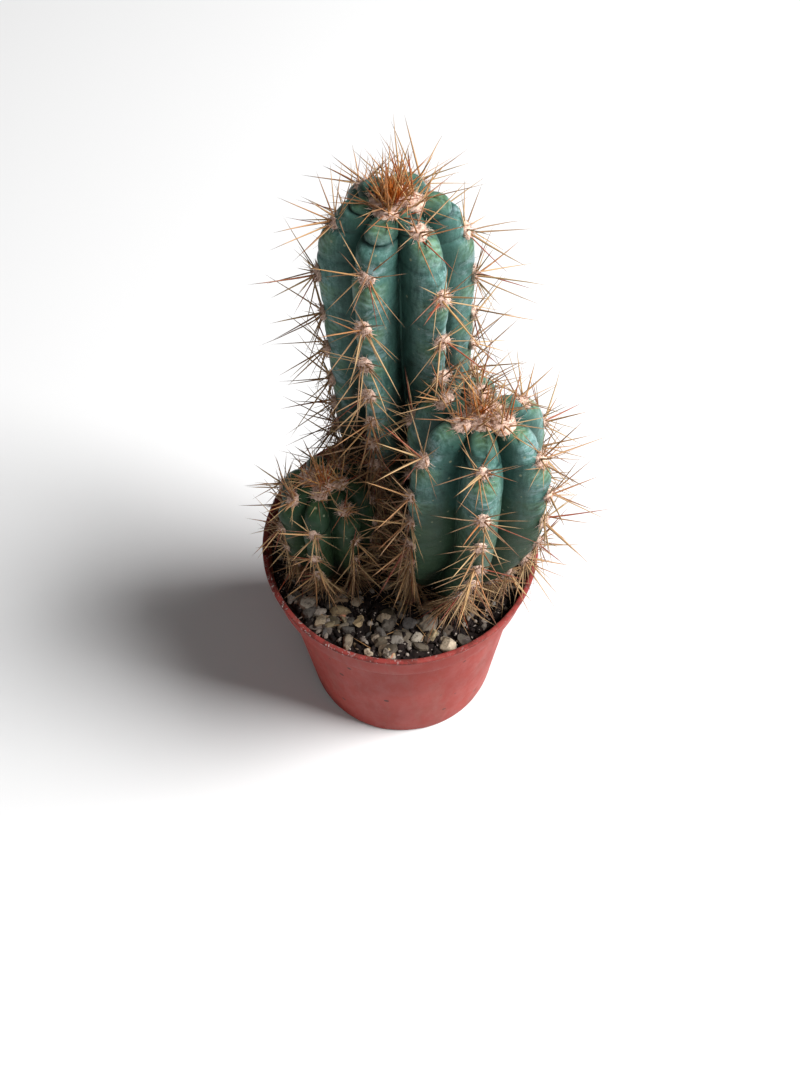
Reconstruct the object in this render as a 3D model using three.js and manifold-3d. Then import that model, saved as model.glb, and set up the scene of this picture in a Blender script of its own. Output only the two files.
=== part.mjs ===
// A potted columnar cactus: three blue-green ribbed stems with woolly areoles and amber spines, rooted
// in a tapered plastic nursery pot of dark potting soil that is dressed with loose gravel.
// Millimetres, +Z up. The origin is the centre of the pot's foot, and the photographed front faces -Y.
// Angles round a stem or the pot are in degrees from the front, -Y, towards the right, +X.
import * as THREE from 'three';
import { mergeVertices } from 'three/addons/utils/BufferGeometryUtils.js';
import Module from 'manifold-3d';

// ---------------------------------------------------------------- driving dimensions

const GAP = 0.3; // clearance between pieces that touch

const POT = {
  height: 95,
  rimRadius: 52.5, // outside of the rolled lip
  lipHeight: 1.8,
  lipWidth: 1.9,
  lipRound: 0.5,
  collarHeight: 14.8, // plain band below the lip, which stands proud of the wall
  collarRadius: 51.3,
  collarTaper: 1.0,
  shoulder: 2.2, // the inside of the step below the collar is this high
  wallTopRadius: 47.5,
  footRadius: 41,
  wall: 1.1,
  floor: 1.5,
  footHeight: 2.5, // the floor is raised so that water runs out under it
  footWidth: 3.4,
  padRadius: 12, // centre of the floor, back down on the ground
  drainCount: 6,
  drainRadius: 3.6,
  drainSides: 8,
  drainCircle: 29,
  bevel: 0.8,
  notchCount: 6,
  notchWidth: 15,
  notchHeight: 1.5,
  segments: 36,
};

const SOIL = {
  level: 86, // height of the soil at the middle of the pot
  heap: 0.66, // height of its broad heaps
  heapTurns: [0.11, 0.13], // radians for each millimetre along X and along Y
  crumb: 0.45, // height of its fine lumps
  crumbTurns: [0.83, 0.41],
  frontLeftRise: 2.2, // it is banked up towards the front left
  rings: 6,
  spokes: 24,
};

// Each stem: where it stands, its height above the soil, how far its top leans, the radius of its rib
// crests, and, for each rib, how far down from the growing point its first areole lies.
const STEMS = [
  {
    name: 'tall_stem',
    place: [3.1, 21],
    lean: [-2.9, 0],
    height: 148.8,
    crest: 23,
    footShare: 0.8, // radius at the soil, as a share of the crest radius
    footReach: 0.45, // share of the height over which it widens from its foot
    footShift: [0, 0], // how far aside its foot is bent
    bendReach: 0.45, // share of the height over which it bends
    dome: 27, // height of the rounded top
    domePower: 2.6, // 2 is an ellipse, more is squarer
    ribs: 6,
    turn: -25.7, // angle of the first rib
    grooveShare: 0.5, // radius in the grooves, as a share of the crest radius
    firstAreole: [6.2, 14, 7, 21, 16, 19],
    step: 18.5,
    shrink: 0.91, // each step between areoles is this share of the one above
    leastStep: 11.5,
    rows: 10,
    domeRows: 6,
    spineLength: 13.5,
    crownSpines: 9,
    crownSpineLength: 20,
    seed: 11,
    colour: 0x4a8378,
  },
  {
    name: 'middle_stem',
    place: [25.5, -15.2],
    lean: [-0.8, -0.5],
    height: 102,
    crest: 24.5,
    footShare: 0.32,
    footReach: 0.6,
    footShift: [-10.8, 4.1],
    bendReach: 0.6,
    dome: 25.8,
    domePower: 2.2,
    ribs: 6,
    turn: -1.2,
    grooveShare: 0.5,
    firstAreole: [3.5, 7.5, 16.5, 10, 14, 7],
    step: 16.5,
    shrink: 0.94,
    leastStep: 11.5,
    rows: 7,
    domeRows: 6,
    spineLength: 14,
    crownSpines: 8,
    crownSpineLength: 18,
    seed: 23,
    colour: 0x4a8378,
  },
  {
    name: 'small_stem',
    place: [-26.3, -6.2],
    lean: [0.6, -0.2],
    height: 55.2,
    crest: 16.8,
    footShare: 0.38,
    footReach: 0.65,
    footShift: [3.3, 0.7],
    bendReach: 0.4,
    dome: 14.4,
    domePower: 2.2,
    ribs: 7,
    turn: -13.3,
    grooveShare: 0.6,
    firstAreole: [6, 13, 7, 11, 5, 6.5, 12.5],
    step: 14.2,
    shrink: 0.92,
    leastStep: 10.5,
    rows: 4,
    domeRows: 5,
    spineLength: 11,
    crownSpines: 7,
    crownSpineLength: 14,
    seed: 38,
    colour: 0x3f6b4c,
  },
];

const ROOT = { depth: 12, taper: 0.25, roundAt: 4 }; // below the soil the stem narrows and turns round
const FOOT_POWER = 0.8;
const RIB_POWER = 2; // more makes the ribs' crests broader
const GROOVE_POWER = 0.7; // less makes the grooves between them tighter
const FOOT_GROOVE = 0.7; // radius in the grooves at the soil, as a share of the crest radius
const GROOVE_REACH = 0.3; // share of the height over which the grooves deepen
const FACETS_PER_RIB = 6;

const LOWEST_AREOLE = 12; // height above the soil

const WOOL = {
  radius: 2.3, // the woolly cushion of an areole
  height: 1.5, // that it stands out from the rib
  root: 1.6, // and reaches in
  widestAt: -0.5,
  sides: 5,
  spineCircle: 1.4, // the spreading spines start this far from its middle
};
const SPINE = {
  radius: 0.42,
  root: 1.6, // depth that a spine's foot is buried
  radials: 3, // spreading spines of an areole
  radialTilt: 64, // degrees from straight out
  centralTilt: 24, // at most, of the one in the middle
  centralLonger: 1.3,
  centralLengths: [0.85, 1.15], // least and most, as a share
  radialLengths: [0.8, 1.1],
  clear: 1.1, // least distance to another piece
  tries: 9, // to bend one clear, each straighter and shorter than the last
  straighter: 0.5,
  shorter: 0.4,
};
// The spines at the growing point stand in a spiral, and lean out more the further from it they are.
const CROWN = { spread: 1.3, goldenAngle: 137.5, tilt: 34, fall: 0.02, lengths: [0.7, 1] };

const STONE = { flat: 0.72, longer: 0.2, narrower: 0.15, uneven: 0.28, lift: 0.25 };
const GRIT = { count: 18, least: 1.3, most: 2.0, lift: 0.13, apart: 0.8, fromWall: 1.5, seed: 5, tries: 900 };
// The larger loose stones on the soil: [x, y, radius].
const STONES = [
  [-22.5, -22.5, 3.3],
  [-22.6, -29.8, 2.4],
  [-16.2, -32.2, 2.7],
  [-6.1, -31.8, 3.9],
  [0.3, -25.2, 2.7],
  [2.6, -33.4, 3.4],
  [8.6, -26.6, 3.6],
  [-9.2, -38.6, 3.0],
  [-2.0, -40.0, 3.2],
  [5.4, -39.4, 2.8],
  [11.4, -37.6, 3.4],
  [16.4, -42.0, 3.8],
  [-12.2, -44.4, 2.4],
  [-4.8, -45.6, 3.0],
  [-35.2, -24.6, 4.6],
  [-30.2, -31.4, 3.0],
  [-40.6, -21.8, 2.8],
  [23.2, -40.2, 2.8],
];

const COLOURS = {
  pot: 0xb0594c,
  soil: 0x2a211d,
  stones: [0xb9ab97, 0x8f8a83, 0xc9bda6, 0x6f6a66, 0xa98a72],
};

// ---------------------------------------------------------------- small tools

const wasm = await Module();
wasm.setup();

const radians = THREE.MathUtils.degToRad;
const { clamp, lerp } = THREE.MathUtils;

// A repeatable random number source, giving numbers from 0 to 1.
function randomSource(seed) {
  let state = seed * 2654435761;
  return () => {
    state = (Math.imul(state ^ (state >>> 15), 2246822519) + 0x9e3779b9) | 0;
    const mixed = Math.imul(state ^ (state >>> 13), 3266489917);
    return ((mixed ^ (mixed >>> 16)) >>> 0) / 4294967296;
  };
}

// A closed three.js geometry as a solid that can be joined and cut.
function solidOf(geometry) {
  const bare = geometry.clone();
  bare.deleteAttribute('normal');
  bare.deleteAttribute('uv');
  const merged = mergeVertices(bare, 1e-4);
  return new wasm.Manifold(
    new wasm.Mesh({
      numProp: 3,
      vertProperties: new Float32Array(merged.attributes.position.array),
      triVerts: new Uint32Array(merged.index.array),
    }),
  );
}

function geometryOf(solid) {
  const mesh = solid.getMesh();
  const geometry = new THREE.BufferGeometry();
  geometry.setAttribute('position', new THREE.BufferAttribute(mesh.vertProperties, 3));
  geometry.setIndex(new THREE.BufferAttribute(mesh.triVerts, 1));
  geometry.computeVertexNormals();
  return geometry;
}

function meshOf(name, geometry, color, roughness) {
  const material = new THREE.MeshStandardMaterial({ color, roughness, metalness: 0, flatShading: true });
  const mesh = new THREE.Mesh(geometry, material);
  mesh.name = name;
  return mesh;
}

// A profile of [radius, height] points, from the axis to the axis, turned about +Z from the front.
function turned(profile, segments, startAngle = 0) {
  const points = profile.map(([radius, height]) => new THREE.Vector2(radius, height));
  return new THREE.LatheGeometry(points, segments, startAngle).rotateX(Math.PI / 2);
}

// The point at a distance from an upright axis, by its angle from the front.
function around([x, y], radius, angle, height) {
  return new THREE.Vector3(x + radius * Math.sin(angle), y - radius * Math.cos(angle), height);
}

// ---------------------------------------------------------------- pot

const collarFoot = POT.height - POT.collarHeight;
const floorTop = POT.footHeight + POT.floor;
const wallSlope = (POT.wallTopRadius - POT.footRadius) / collarFoot;

// Radius of the inside of the wall, or of the collar above its step.
function potInnerRadius(height) {
  if (height <= collarFoot + POT.wall) return POT.footRadius + wallSlope * height - POT.wall;
  const up = (height - collarFoot) / POT.collarHeight;
  return POT.collarRadius - POT.collarTaper * (1 - up) - POT.wall;
}

// The pot's section, from the middle of its underside round the lip to the middle of its floor.
function potProfile() {
  const { bevel, footHeight, footRadius, padRadius, rimRadius, lipRound } = POT;
  const footInner = footRadius - POT.footWidth;
  const lipInner = rimRadius - POT.lipWidth;
  const lipFoot = POT.height - POT.lipHeight;
  return [
    [0, 0],
    [padRadius, 0],
    [padRadius + bevel, footHeight],
    [footInner - bevel, footHeight],
    [footInner, 0],
    [footRadius - bevel, 0],
    [footRadius, bevel],
    [POT.wallTopRadius, collarFoot],
    [POT.collarRadius - POT.collarTaper, collarFoot + GAP],
    [POT.collarRadius, lipFoot - lipRound],
    [rimRadius - lipRound / 2, lipFoot],
    [rimRadius, POT.height - lipRound],
    [rimRadius - lipRound, POT.height],
    [lipInner + lipRound, POT.height],
    [lipInner, POT.height - lipRound],
    [potInnerRadius(lipFoot), lipFoot - lipRound],
    [potInnerRadius(collarFoot + POT.shoulder), collarFoot + POT.shoulder],
    [potInnerRadius(collarFoot), collarFoot],
    [potInnerRadius(floorTop + bevel), floorTop + bevel],
    [potInnerRadius(floorTop) - bevel, floorTop],
    [padRadius + bevel, floorTop],
    [padRadius - bevel, POT.floor],
    [0, POT.floor],
  ];
}

function makePot() {
  let pot = solidOf(turned(potProfile(), POT.segments));
  for (let i = 0; i < POT.drainCount; i++) {
    const { drainRadius, drainSides, floor } = POT;
    const hole = new THREE.CylinderGeometry(drainRadius, drainRadius, 3 * floor, drainSides);
    const angle = radians((i + 0.5) * (360 / POT.drainCount));
    const middle = around([0, 0], POT.drainCircle, angle, floorTop - floor / 2);
    hole.rotateX(Math.PI / 2).translate(...middle.toArray());
    pot = pot.subtract(solidOf(hole));
  }
  for (let i = 0; i < POT.notchCount; i++) {
    const angle = radians(i * (360 / POT.notchCount));
    const notch = new THREE.BoxGeometry(POT.notchWidth, 3 * POT.footWidth, 2 * POT.notchHeight);
    notch.rotateZ(angle).translate(...around([0, 0], POT.footRadius, angle, 0).toArray());
    pot = pot.subtract(solidOf(notch));
  }
  return pot;
}

// ---------------------------------------------------------------- stems

// Crest radius of a stem at a height above the soil; below the soil it narrows to a blunt foot.
function crestRadius(stem, height) {
  if (height < 0) return stem.crest * stem.footShare * (1 + (ROOT.taper * height) / ROOT.depth);
  const widening = clamp(height / stem.height / stem.footReach, 0, 1) ** FOOT_POWER;
  const swelling = lerp(stem.footShare, 1, widening * (2 - widening));
  const up = clamp((height - stem.height + stem.dome) / stem.dome, 0, 1);
  return stem.crest * swelling * Math.max(1 - up ** stem.domePower, 0) ** (1 / stem.domePower);
}

// How far the surface stands out at an angle from a rib's crest, as a share of the crest radius.
function ribShare(stem, angle, height) {
  const ribs = (stem.ribs * angle) / (2 * Math.PI);
  const across = Math.min(2 * Math.abs(ribs - Math.round(ribs)), 1); // 0 at a crest, 1 in a groove
  const wave = (1 - across ** RIB_POWER) ** GROOVE_POWER;
  const rise = clamp(height / (GROOVE_REACH * stem.height), 0, 1);
  const sunk = clamp(-height / ROOT.roundAt, 0, 1);
  const groove = lerp(lerp(FOOT_GROOVE, stem.grooveShare, rise), 1, sunk);
  return groove + (1 - groove) * wave;
}

// The middle of a stem at a height above the soil: it leans evenly, and its foot bends aside.
function stemCentre(stem, height) {
  const share = clamp(height / stem.height, 0, 1);
  const bend = (1 - clamp(share / stem.bendReach, 0, 1)) ** 2;
  return [0, 1].map((i) => stem.place[i] + stem.lean[i] * share + stem.footShift[i] * bend);
}

// Heights of the rows of facets, closer together where the stem rounds over.
function rowHeights(stem) {
  const straight = stem.height - stem.dome;
  const heights = [-ROOT.depth];
  for (let i = 0; i <= stem.rows; i++) heights.push((straight * i) / stem.rows);
  for (let i = 1; i <= stem.domeRows; i++) {
    heights.push(straight + stem.dome * Math.sin((Math.PI / 2) * (i / stem.domeRows)));
  }
  return heights;
}

// The stem's flesh, or a slightly larger copy of it that cuts its hole in the soil.
function makeFlesh(stem, grow = 0) {
  const heights = rowHeights(stem);
  const profile = heights.map((height) => [crestRadius(stem, height) + grow, height]);
  profile[0][1] -= grow;
  profile.unshift([0, -ROOT.depth - grow]);
  profile[profile.length - 1] = [0, stem.height + grow];
  const segments = stem.ribs * FACETS_PER_RIB;
  const geometry = turned(profile, segments, radians(stem.turn));
  const position = geometry.attributes.position;
  const point = new THREE.Vector3();
  for (let i = 0; i < position.count; i++) {
    point.fromBufferAttribute(position, i);
    const angle = Math.atan2(point.x, -point.y) - radians(stem.turn);
    const share = ribShare(stem, angle, point.z);
    const centre = stemCentre(stem, point.z);
    position.setXYZ(i, centre[0] + point.x * share, centre[1] + point.y * share, SOIL.level + point.z);
  }
  return solidOf(geometry);
}

// Points down a rib's crest from the growing point, each with its distance along the crest.
function crestLine(stem) {
  const count = 300;
  const line = [];
  for (let i = 0; i <= count; i++) {
    const height = stem.height * Math.cos((Math.PI / 2) * (i / count));
    const radius = crestRadius(stem, height);
    const last = line[i - 1];
    const length = last ? last.length + Math.hypot(last.height - height, last.radius - radius) : 0;
    line.push({ length, height, radius });
  }
  return line;
}

// Every areole of a stem: where it sits on its rib, and which way is out, up and sideways there.
function areolesOf(stem) {
  const line = crestLine(stem);
  const areoles = [];
  for (let rib = 0; rib < stem.ribs; rib++) {
    const angle = radians(stem.turn + (360 / stem.ribs) * rib);
    const sideways = new THREE.Vector3(Math.cos(angle), Math.sin(angle), 0);
    const onCrest = ({ height, radius }) => around(stemCentre(stem, height), radius, angle, SOIL.level + height);
    let step = stem.step;
    let down = stem.firstAreole[rib];
    let at = line.findIndex((point) => point.length >= down);
    while (at > 0 && line[at].height > LOWEST_AREOLE) {
      const up = onCrest(line[at - 2]).sub(onCrest(line[at + 2])).normalize();
      const out = new THREE.Vector3().crossVectors(sideways, up).normalize();
      const side = new THREE.Vector3().crossVectors(up, out);
      areoles.push({ stem, place: onCrest(line[at]), up, side, out });
      down += step;
      step = Math.max(step * stem.shrink, stem.leastStep);
      at = line.findIndex((point) => point.length >= down);
    }
  }
  return areoles;
}

// ---------------------------------------------------------------- soil and stones

// Height of the soil's surface above the ground.
function soilHeight(x, y) {
  const [heapX, heapY] = SOIL.heapTurns;
  const [crumbX, crumbY] = SOIL.crumbTurns;
  const heaps = Math.sin(x * heapX + 1) * Math.cos(y * heapY);
  const crumbs = Math.sin(x * crumbX + y * crumbY) * Math.sin(y * crumbX - x * crumbY);
  const banked = clamp((-x - y) / (2 * POT.wallTopRadius), 0, 1);
  return SOIL.level + SOIL.heap * heaps + SOIL.crumb * crumbs + SOIL.frontLeftRise * banked;
}

function makeSoil() {
  const floorRadius = potInnerRadius(floorTop) - POT.bevel - GAP;
  const topRadius = potInnerRadius(collarFoot) - GAP;
  const wallFoot = floorTop + 2 * POT.bevel;
  const edge = SOIL.level - 3 * SOIL.crumb;
  const profile = [
    [0, floorTop + GAP],
    [floorRadius, floorTop + GAP],
    [potInnerRadius(wallFoot) - GAP, wallFoot],
    [topRadius, collarFoot],
    [topRadius, edge],
  ];
  for (let ring = 0; ring <= SOIL.rings; ring++) {
    profile.push([topRadius * (1 - ring / SOIL.rings), SOIL.level]);
  }
  const geometry = turned(profile, SOIL.spokes);
  const position = geometry.attributes.position;
  for (let i = 0; i < position.count; i++) {
    const [x, y, z] = [position.getX(i), position.getY(i), position.getZ(i)];
    if (z > edge + SOIL.crumb) position.setZ(i, soilHeight(x, y));
  }
  return solidOf(geometry);
}

// An angular stone, half sunk in the soil: a squashed solid with each corner pulled in by chance.
function makeStone(solid, [x, y, radius], lift, seed, grow = 0) {
  const random = randomSource(seed);
  const geometry = mergeVertices(withoutShading(solid), 1e-4);
  const position = geometry.attributes.position;
  const [length, width] = [1 + STONE.longer * random(), 1 - STONE.narrower * random()];
  const shape = new THREE.Vector3(length, width, STONE.flat);
  const turn = Math.PI * random();
  const upright = new THREE.Vector3(0, 0, 1);
  const corner = new THREE.Vector3();
  for (let i = 0; i < position.count; i++) {
    const reach = radius * (1 - STONE.uneven * random());
    corner.fromBufferAttribute(position, i).multiply(shape).multiplyScalar(reach);
    corner.setLength(corner.length() + grow).applyAxisAngle(upright, turn);
    position.setXYZ(i, corner.x, corner.y, corner.z);
  }
  return geometry.translate(x, y, soilHeight(x, y) + radius * lift);
}

function withoutShading(geometry) {
  geometry.deleteAttribute('normal');
  geometry.deleteAttribute('uv');
  return geometry;
}

// Spots for the fine grit between the stones and the stems, chosen by chance but the same every time.
function gritSpots() {
  const random = randomSource(GRIT.seed);
  const reach = potInnerRadius(SOIL.level) - GRIT.fromWall;
  const stems = STEMS.map((stem) => [...stemCentre(stem, 0), crestRadius(stem, SOIL.frontLeftRise)]);
  const spots = [];
  for (let tries = 0; tries < GRIT.tries && spots.length < GRIT.count; tries++) {
    const radius = lerp(GRIT.least, GRIT.most, random());
    const spot = around([0, 0], (reach - radius) * Math.sqrt(random()), 2 * Math.PI * random(), 0);
    const isApart = ([x, y, other]) => Math.hypot(spot.x - x, spot.y - y) > radius + other + GRIT.apart;
    if ([...STONES, ...spots, ...stems].every(isApart)) spots.push([spot.x, spot.y, radius]);
  }
  return spots;
}

// ---------------------------------------------------------------- wool and spines

// How far a point lies outside a stem's flesh, measured from its axis, or from its tip if it is higher.
function outsideStem(point, stem) {
  const height = point.z - SOIL.level;
  const centre = stemCentre(stem, height);
  const fromAxis = Math.hypot(point.x - centre[0], point.y - centre[1]);
  if (height > stem.height) return Math.hypot(fromAxis, height - stem.height);
  const angle = Math.atan2(point.x - centre[0], centre[1] - point.y) - radians(stem.turn);
  return fromAxis - crestRadius(stem, height) * ribShare(stem, angle, height);
}

// True if a point is at least the clearance away from the soil, the stones, the pot and other stems.
function isFree(point, stem, clear) {
  const fromAxis = Math.hypot(point.x, point.y);
  if (point.z < soilHeight(point.x, point.y) + GRIT.most * STONE.flat + clear) return false;
  if (point.z < POT.height + clear && fromAxis > POT.rimRadius - POT.lipWidth - clear) return false;
  const hitsStone = STONES.some(([x, y, radius]) => {
    const middle = soilHeight(x, y) + radius * STONE.lift;
    const away = Math.hypot(point.x - x, point.y - y, point.z - middle);
    return away < radius * (1 + STONE.longer) + clear;
  });
  if (hitsStone) return false;
  return STEMS.every((other) => other === stem || outsideStem(point, other) > clear);
}

function lineIsFree(from, to, stem) {
  const samples = 12;
  const point = new THREE.Vector3();
  for (let i = 1; i <= samples; i++) {
    if (!isFree(point.lerpVectors(from, to, i / samples), stem, SPINE.clear)) return false;
  }
  const line = new THREE.Line3(from, to);
  const nearest = new THREE.Vector3();
  const clearOfWool = areoles.every((areole) => {
    if (areole.stem === stem) return true;
    line.closestPointToPoint(areole.place, true, nearest);
    return nearest.distanceTo(areole.place) > WOOL.radius + SPINE.clear;
  });
  if (!clearOfWool) return false;
  return spines.every((spine) => spine.stem === stem || lineDistance(line, spine.line) > SPINE.clear);
}

// Least distance between two lines, taken at steps along the first.
function lineDistance(first, second) {
  const samples = 14;
  const point = new THREE.Vector3();
  const nearest = new THREE.Vector3();
  let least = Infinity;
  for (let i = 0; i <= samples; i++) {
    first.at(i / samples, point);
    second.closestPointToPoint(point, true, nearest);
    least = Math.min(least, nearest.distanceTo(point));
  }
  return least;
}

// A direction tilted from straight out of an areole, then swung round it.
function spineDirection(areole, tilt, swing) {
  return areole.out
    .clone()
    .multiplyScalar(Math.cos(tilt))
    .addScaledVector(areole.up, Math.sin(tilt) * Math.cos(swing))
    .addScaledVector(areole.side, Math.sin(tilt) * Math.sin(swing))
    .normalize();
}

// The tip of a spine that starts at a point, bent until it is clear of all else, or null if it never is.
function freeTip(areole, from, tilt, swing, length, random) {
  for (let i = 0; i < SPINE.tries; i++) {
    const share = i / SPINE.tries;
    const bentTilt = tilt * (1 - SPINE.straighter * share);
    const direction = spineDirection(areole, bentTilt, swing * (1 - share) + share * random());
    const tip = from.clone().addScaledVector(direction, length * (1 - SPINE.shorter * share));
    if (lineIsFree(from, tip, areole.stem)) {
      spines.push({ stem: areole.stem, line: new THREE.Line3(from.clone(), tip) });
      return tip;
    }
  }
  return null;
}

// A three-sided needle whose foot is buried behind the point where it comes out.
function needle(from, tip) {
  const direction = tip.clone().sub(from).normalize();
  const length = from.distanceTo(tip) + SPINE.root;
  const geometry = new THREE.ConeGeometry(SPINE.radius, length, 3);
  const turn = new THREE.Quaternion().setFromUnitVectors(new THREE.Vector3(0, 1, 0), direction);
  geometry.translate(0, length / 2 - SPINE.root, 0).applyQuaternion(turn);
  return solidOf(geometry.translate(from.x, from.y, from.z));
}

// The cushion of an areole, which draws up into its middle spine.
function makeCushion(areole, tip) {
  const top = tip ? SPINE.radius : 0;
  const profile = [
    [0, -WOOL.root],
    [WOOL.radius, WOOL.widestAt],
    [top, WOOL.height],
  ];
  if (tip) profile.push([0, WOOL.height + SPINE.radius]);
  const points = profile.map(([radius, height]) => new THREE.Vector2(radius, height));
  const geometry = new THREE.LatheGeometry(points, WOOL.sides);
  const frame = new THREE.Matrix4().makeBasis(areole.side, areole.out, areole.up.clone().negate());
  geometry.applyMatrix4(frame).translate(areole.place.x, areole.place.y, areole.place.z);
  if (tip) moveLastRow(geometry, profile.length, tip);
  return solidOf(geometry);
}

// Moves every point of a turned shape's last row, which lie together on its axis, to a new place.
function moveLastRow(geometry, rows, place) {
  const position = geometry.attributes.position;
  for (let i = rows - 1; i < position.count; i += rows) position.setXYZ(i, place.x, place.y, place.z);
}

function makeAreole(areole, random) {
  const { spineLength } = areole.stem;
  const heart = areole.place.clone().addScaledVector(areole.out, WOOL.height);
  const middleLength = spineLength * SPINE.centralLonger * lerp(...SPINE.centralLengths, random());
  const middleTilt = radians(SPINE.centralTilt) * random();
  const middle = freeTip(areole, heart, middleTilt, 2 * Math.PI * random(), middleLength, random);
  const pieces = [makeCushion(areole, middle)];
  const face = (Math.PI * 2) / WOOL.sides;
  const first = face * (Math.floor(random() * WOOL.sides) + 0.5);
  for (let i = 0; i < SPINE.radials; i++) {
    const swing = first + face * Math.round((WOOL.sides * i) / SPINE.radials) - Math.PI;
    const length = spineLength * lerp(...SPINE.radialLengths, random());
    const direction = spineDirection(areole, radians(SPINE.radialTilt), swing);
    const from = areole.place.clone().addScaledVector(direction, WOOL.spineCircle);
    const tip = freeTip(areole, from, radians(SPINE.radialTilt), swing, length, random);
    if (tip) pieces.push(needle(from, tip));
  }
  return pieces;
}

// The tuft of new spines that stands up from the growing point, set out in a spiral.
function makeCrown(stem, random) {
  const tuft = [];
  const centre = stemCentre(stem, stem.height);
  const side = new THREE.Vector3(1, 0, 0);
  const up = new THREE.Vector3(0, -1, 0);
  for (let i = 1; i <= stem.crownSpines; i++) {
    const swing = radians(CROWN.goldenAngle * i);
    const spread = CROWN.spread * Math.sqrt(i);
    const from = around(centre, spread, swing, SOIL.level + stem.height - CROWN.fall * spread ** 2);
    const crown = { stem, up, side, out: new THREE.Vector3(0, 0, 1) };
    const tilt = radians(CROWN.tilt) * (i / stem.crownSpines);
    const length = stem.crownSpineLength * lerp(...CROWN.lengths, random());
    const tip = freeTip(crown, from, tilt, swing, length, random);
    if (tip) tuft.push(needle(from, tip));
  }
  return tuft;
}

function makeStem(stem) {
  const random = randomSource(stem.seed);
  const own = areoles.filter((areole) => areole.stem === stem);
  const pieces = own.flatMap((areole) => makeAreole(areole, random));
  return wasm.Manifold.union([makeFlesh(stem), ...pieces, ...makeCrown(stem, random)]);
}

// ---------------------------------------------------------------- the whole plant

const spines = []; // each spine as it is placed, so that the next ones stay clear of it
const areoles = STEMS.flatMap(areolesOf).filter((areole) => {
  const heart = areole.place.clone().addScaledVector(areole.out, WOOL.widestAt);
  return isFree(heart, areole.stem, WOOL.radius + GAP);
});

const plant = new THREE.Group();
plant.add(meshOf('pot', geometryOf(makePot()), COLOURS.pot, 0.45));

let soil = makeSoil();
for (const stem of STEMS) {
  soil = soil.subtract(makeFlesh(stem, GAP));
  plant.add(meshOf(stem.name, geometryOf(makeStem(stem)), stem.colour, 0.6));
}
STONES.forEach((spot, index) => {
  const stone = (grow) => makeStone(new THREE.IcosahedronGeometry(1), spot, STONE.lift, index, grow);
  soil = soil.subtract(solidOf(stone(GAP)));
  const name = `stone_${String(index + 1).padStart(2, '0')}`;
  plant.add(meshOf(name, stone(0), COLOURS.stones[index % COLOURS.stones.length], 0.85));
});
const grit = gritSpots().map((spot, index) => {
  return solidOf(makeStone(new THREE.OctahedronGeometry(1), spot, GRIT.lift, STONES.length + index));
});
soil = wasm.Manifold.union([soil, ...grit]);
plant.add(meshOf('soil', geometryOf(soil), COLOURS.soil, 0.95));

export default plant;
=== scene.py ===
"""A potted tall cactus: three ribbed stems in a terracotta-coloured nursery pot of soil and gravel.

The CAD model says where each piece is. The driving sizes of the part's own source are repeated
here, and finer skins, felt, spines, stones, soil and a finer pot take the places of its nodes.
Sizes are in millimetres, and a mesh is scaled to metres when it is made. An angle round a stem or
the pot starts at the front, -Y, and turns towards +X.
"""
from math import cos, pi, radians, sin
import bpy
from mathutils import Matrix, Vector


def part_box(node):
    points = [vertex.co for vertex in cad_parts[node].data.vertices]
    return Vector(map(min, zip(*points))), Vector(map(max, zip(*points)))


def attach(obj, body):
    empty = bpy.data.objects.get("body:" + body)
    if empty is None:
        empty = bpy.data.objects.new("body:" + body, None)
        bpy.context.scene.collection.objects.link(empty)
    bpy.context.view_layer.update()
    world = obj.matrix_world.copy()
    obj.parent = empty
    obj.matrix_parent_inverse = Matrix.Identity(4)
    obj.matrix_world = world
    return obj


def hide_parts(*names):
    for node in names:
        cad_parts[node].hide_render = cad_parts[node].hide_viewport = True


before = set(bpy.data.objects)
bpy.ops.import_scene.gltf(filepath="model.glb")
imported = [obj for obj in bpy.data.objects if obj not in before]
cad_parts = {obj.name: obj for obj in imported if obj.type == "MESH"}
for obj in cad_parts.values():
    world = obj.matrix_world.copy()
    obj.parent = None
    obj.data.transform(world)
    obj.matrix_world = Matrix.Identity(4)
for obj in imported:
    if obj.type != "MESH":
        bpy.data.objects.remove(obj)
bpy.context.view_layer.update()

from types import SimpleNamespace

import bpy
import numpy as np
from mathutils import Matrix

MM = 0.001
GOLDEN_ANGLE = 137.5
UP = np.array([0, 0, 1.0])

# ---- The part's driving sizes, as its source has them ----

GAP = 0.3
POT = SimpleNamespace(
    height=95, rim_radius=52.5, lip_height=1.8, lip_width=1.9, lip_round=0.5,
    collar_height=14.8, collar_radius=51.3, collar_taper=1.0, shoulder=2.2,
    wall_top_radius=47.5, foot_radius=41, wall=1.1, floor=1.5, foot_height=2.5, foot_width=3.4,
    pad_radius=12, drain_count=6, drain_radius=3.6, drain_circle=29, bevel=0.8,
    notch_count=6, notch_width=15, notch_height=1.5,
)
POT.collar_foot = POT.height - POT.collar_height
POT.lip_foot = POT.height - POT.lip_height
POT.floor_top = POT.foot_height + POT.floor
POT.wall_slope = (POT.wall_top_radius - POT.foot_radius) / POT.collar_foot

SOIL = SimpleNamespace(
    level=86, heap=0.66, heap_turns=(0.11, 0.13), crumb=0.45, crumb_turns=(0.83, 0.41),
    front_left_rise=2.2,
)

ROOT_DEPTH = 12
ROOT_TAPER = 0.25
FOOT_POWER = 0.8
RIB_POWER = 2
GROOVE_POWER = 0.7
FOOT_GROOVE = 0.7
GROOVE_REACH = 0.3

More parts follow.
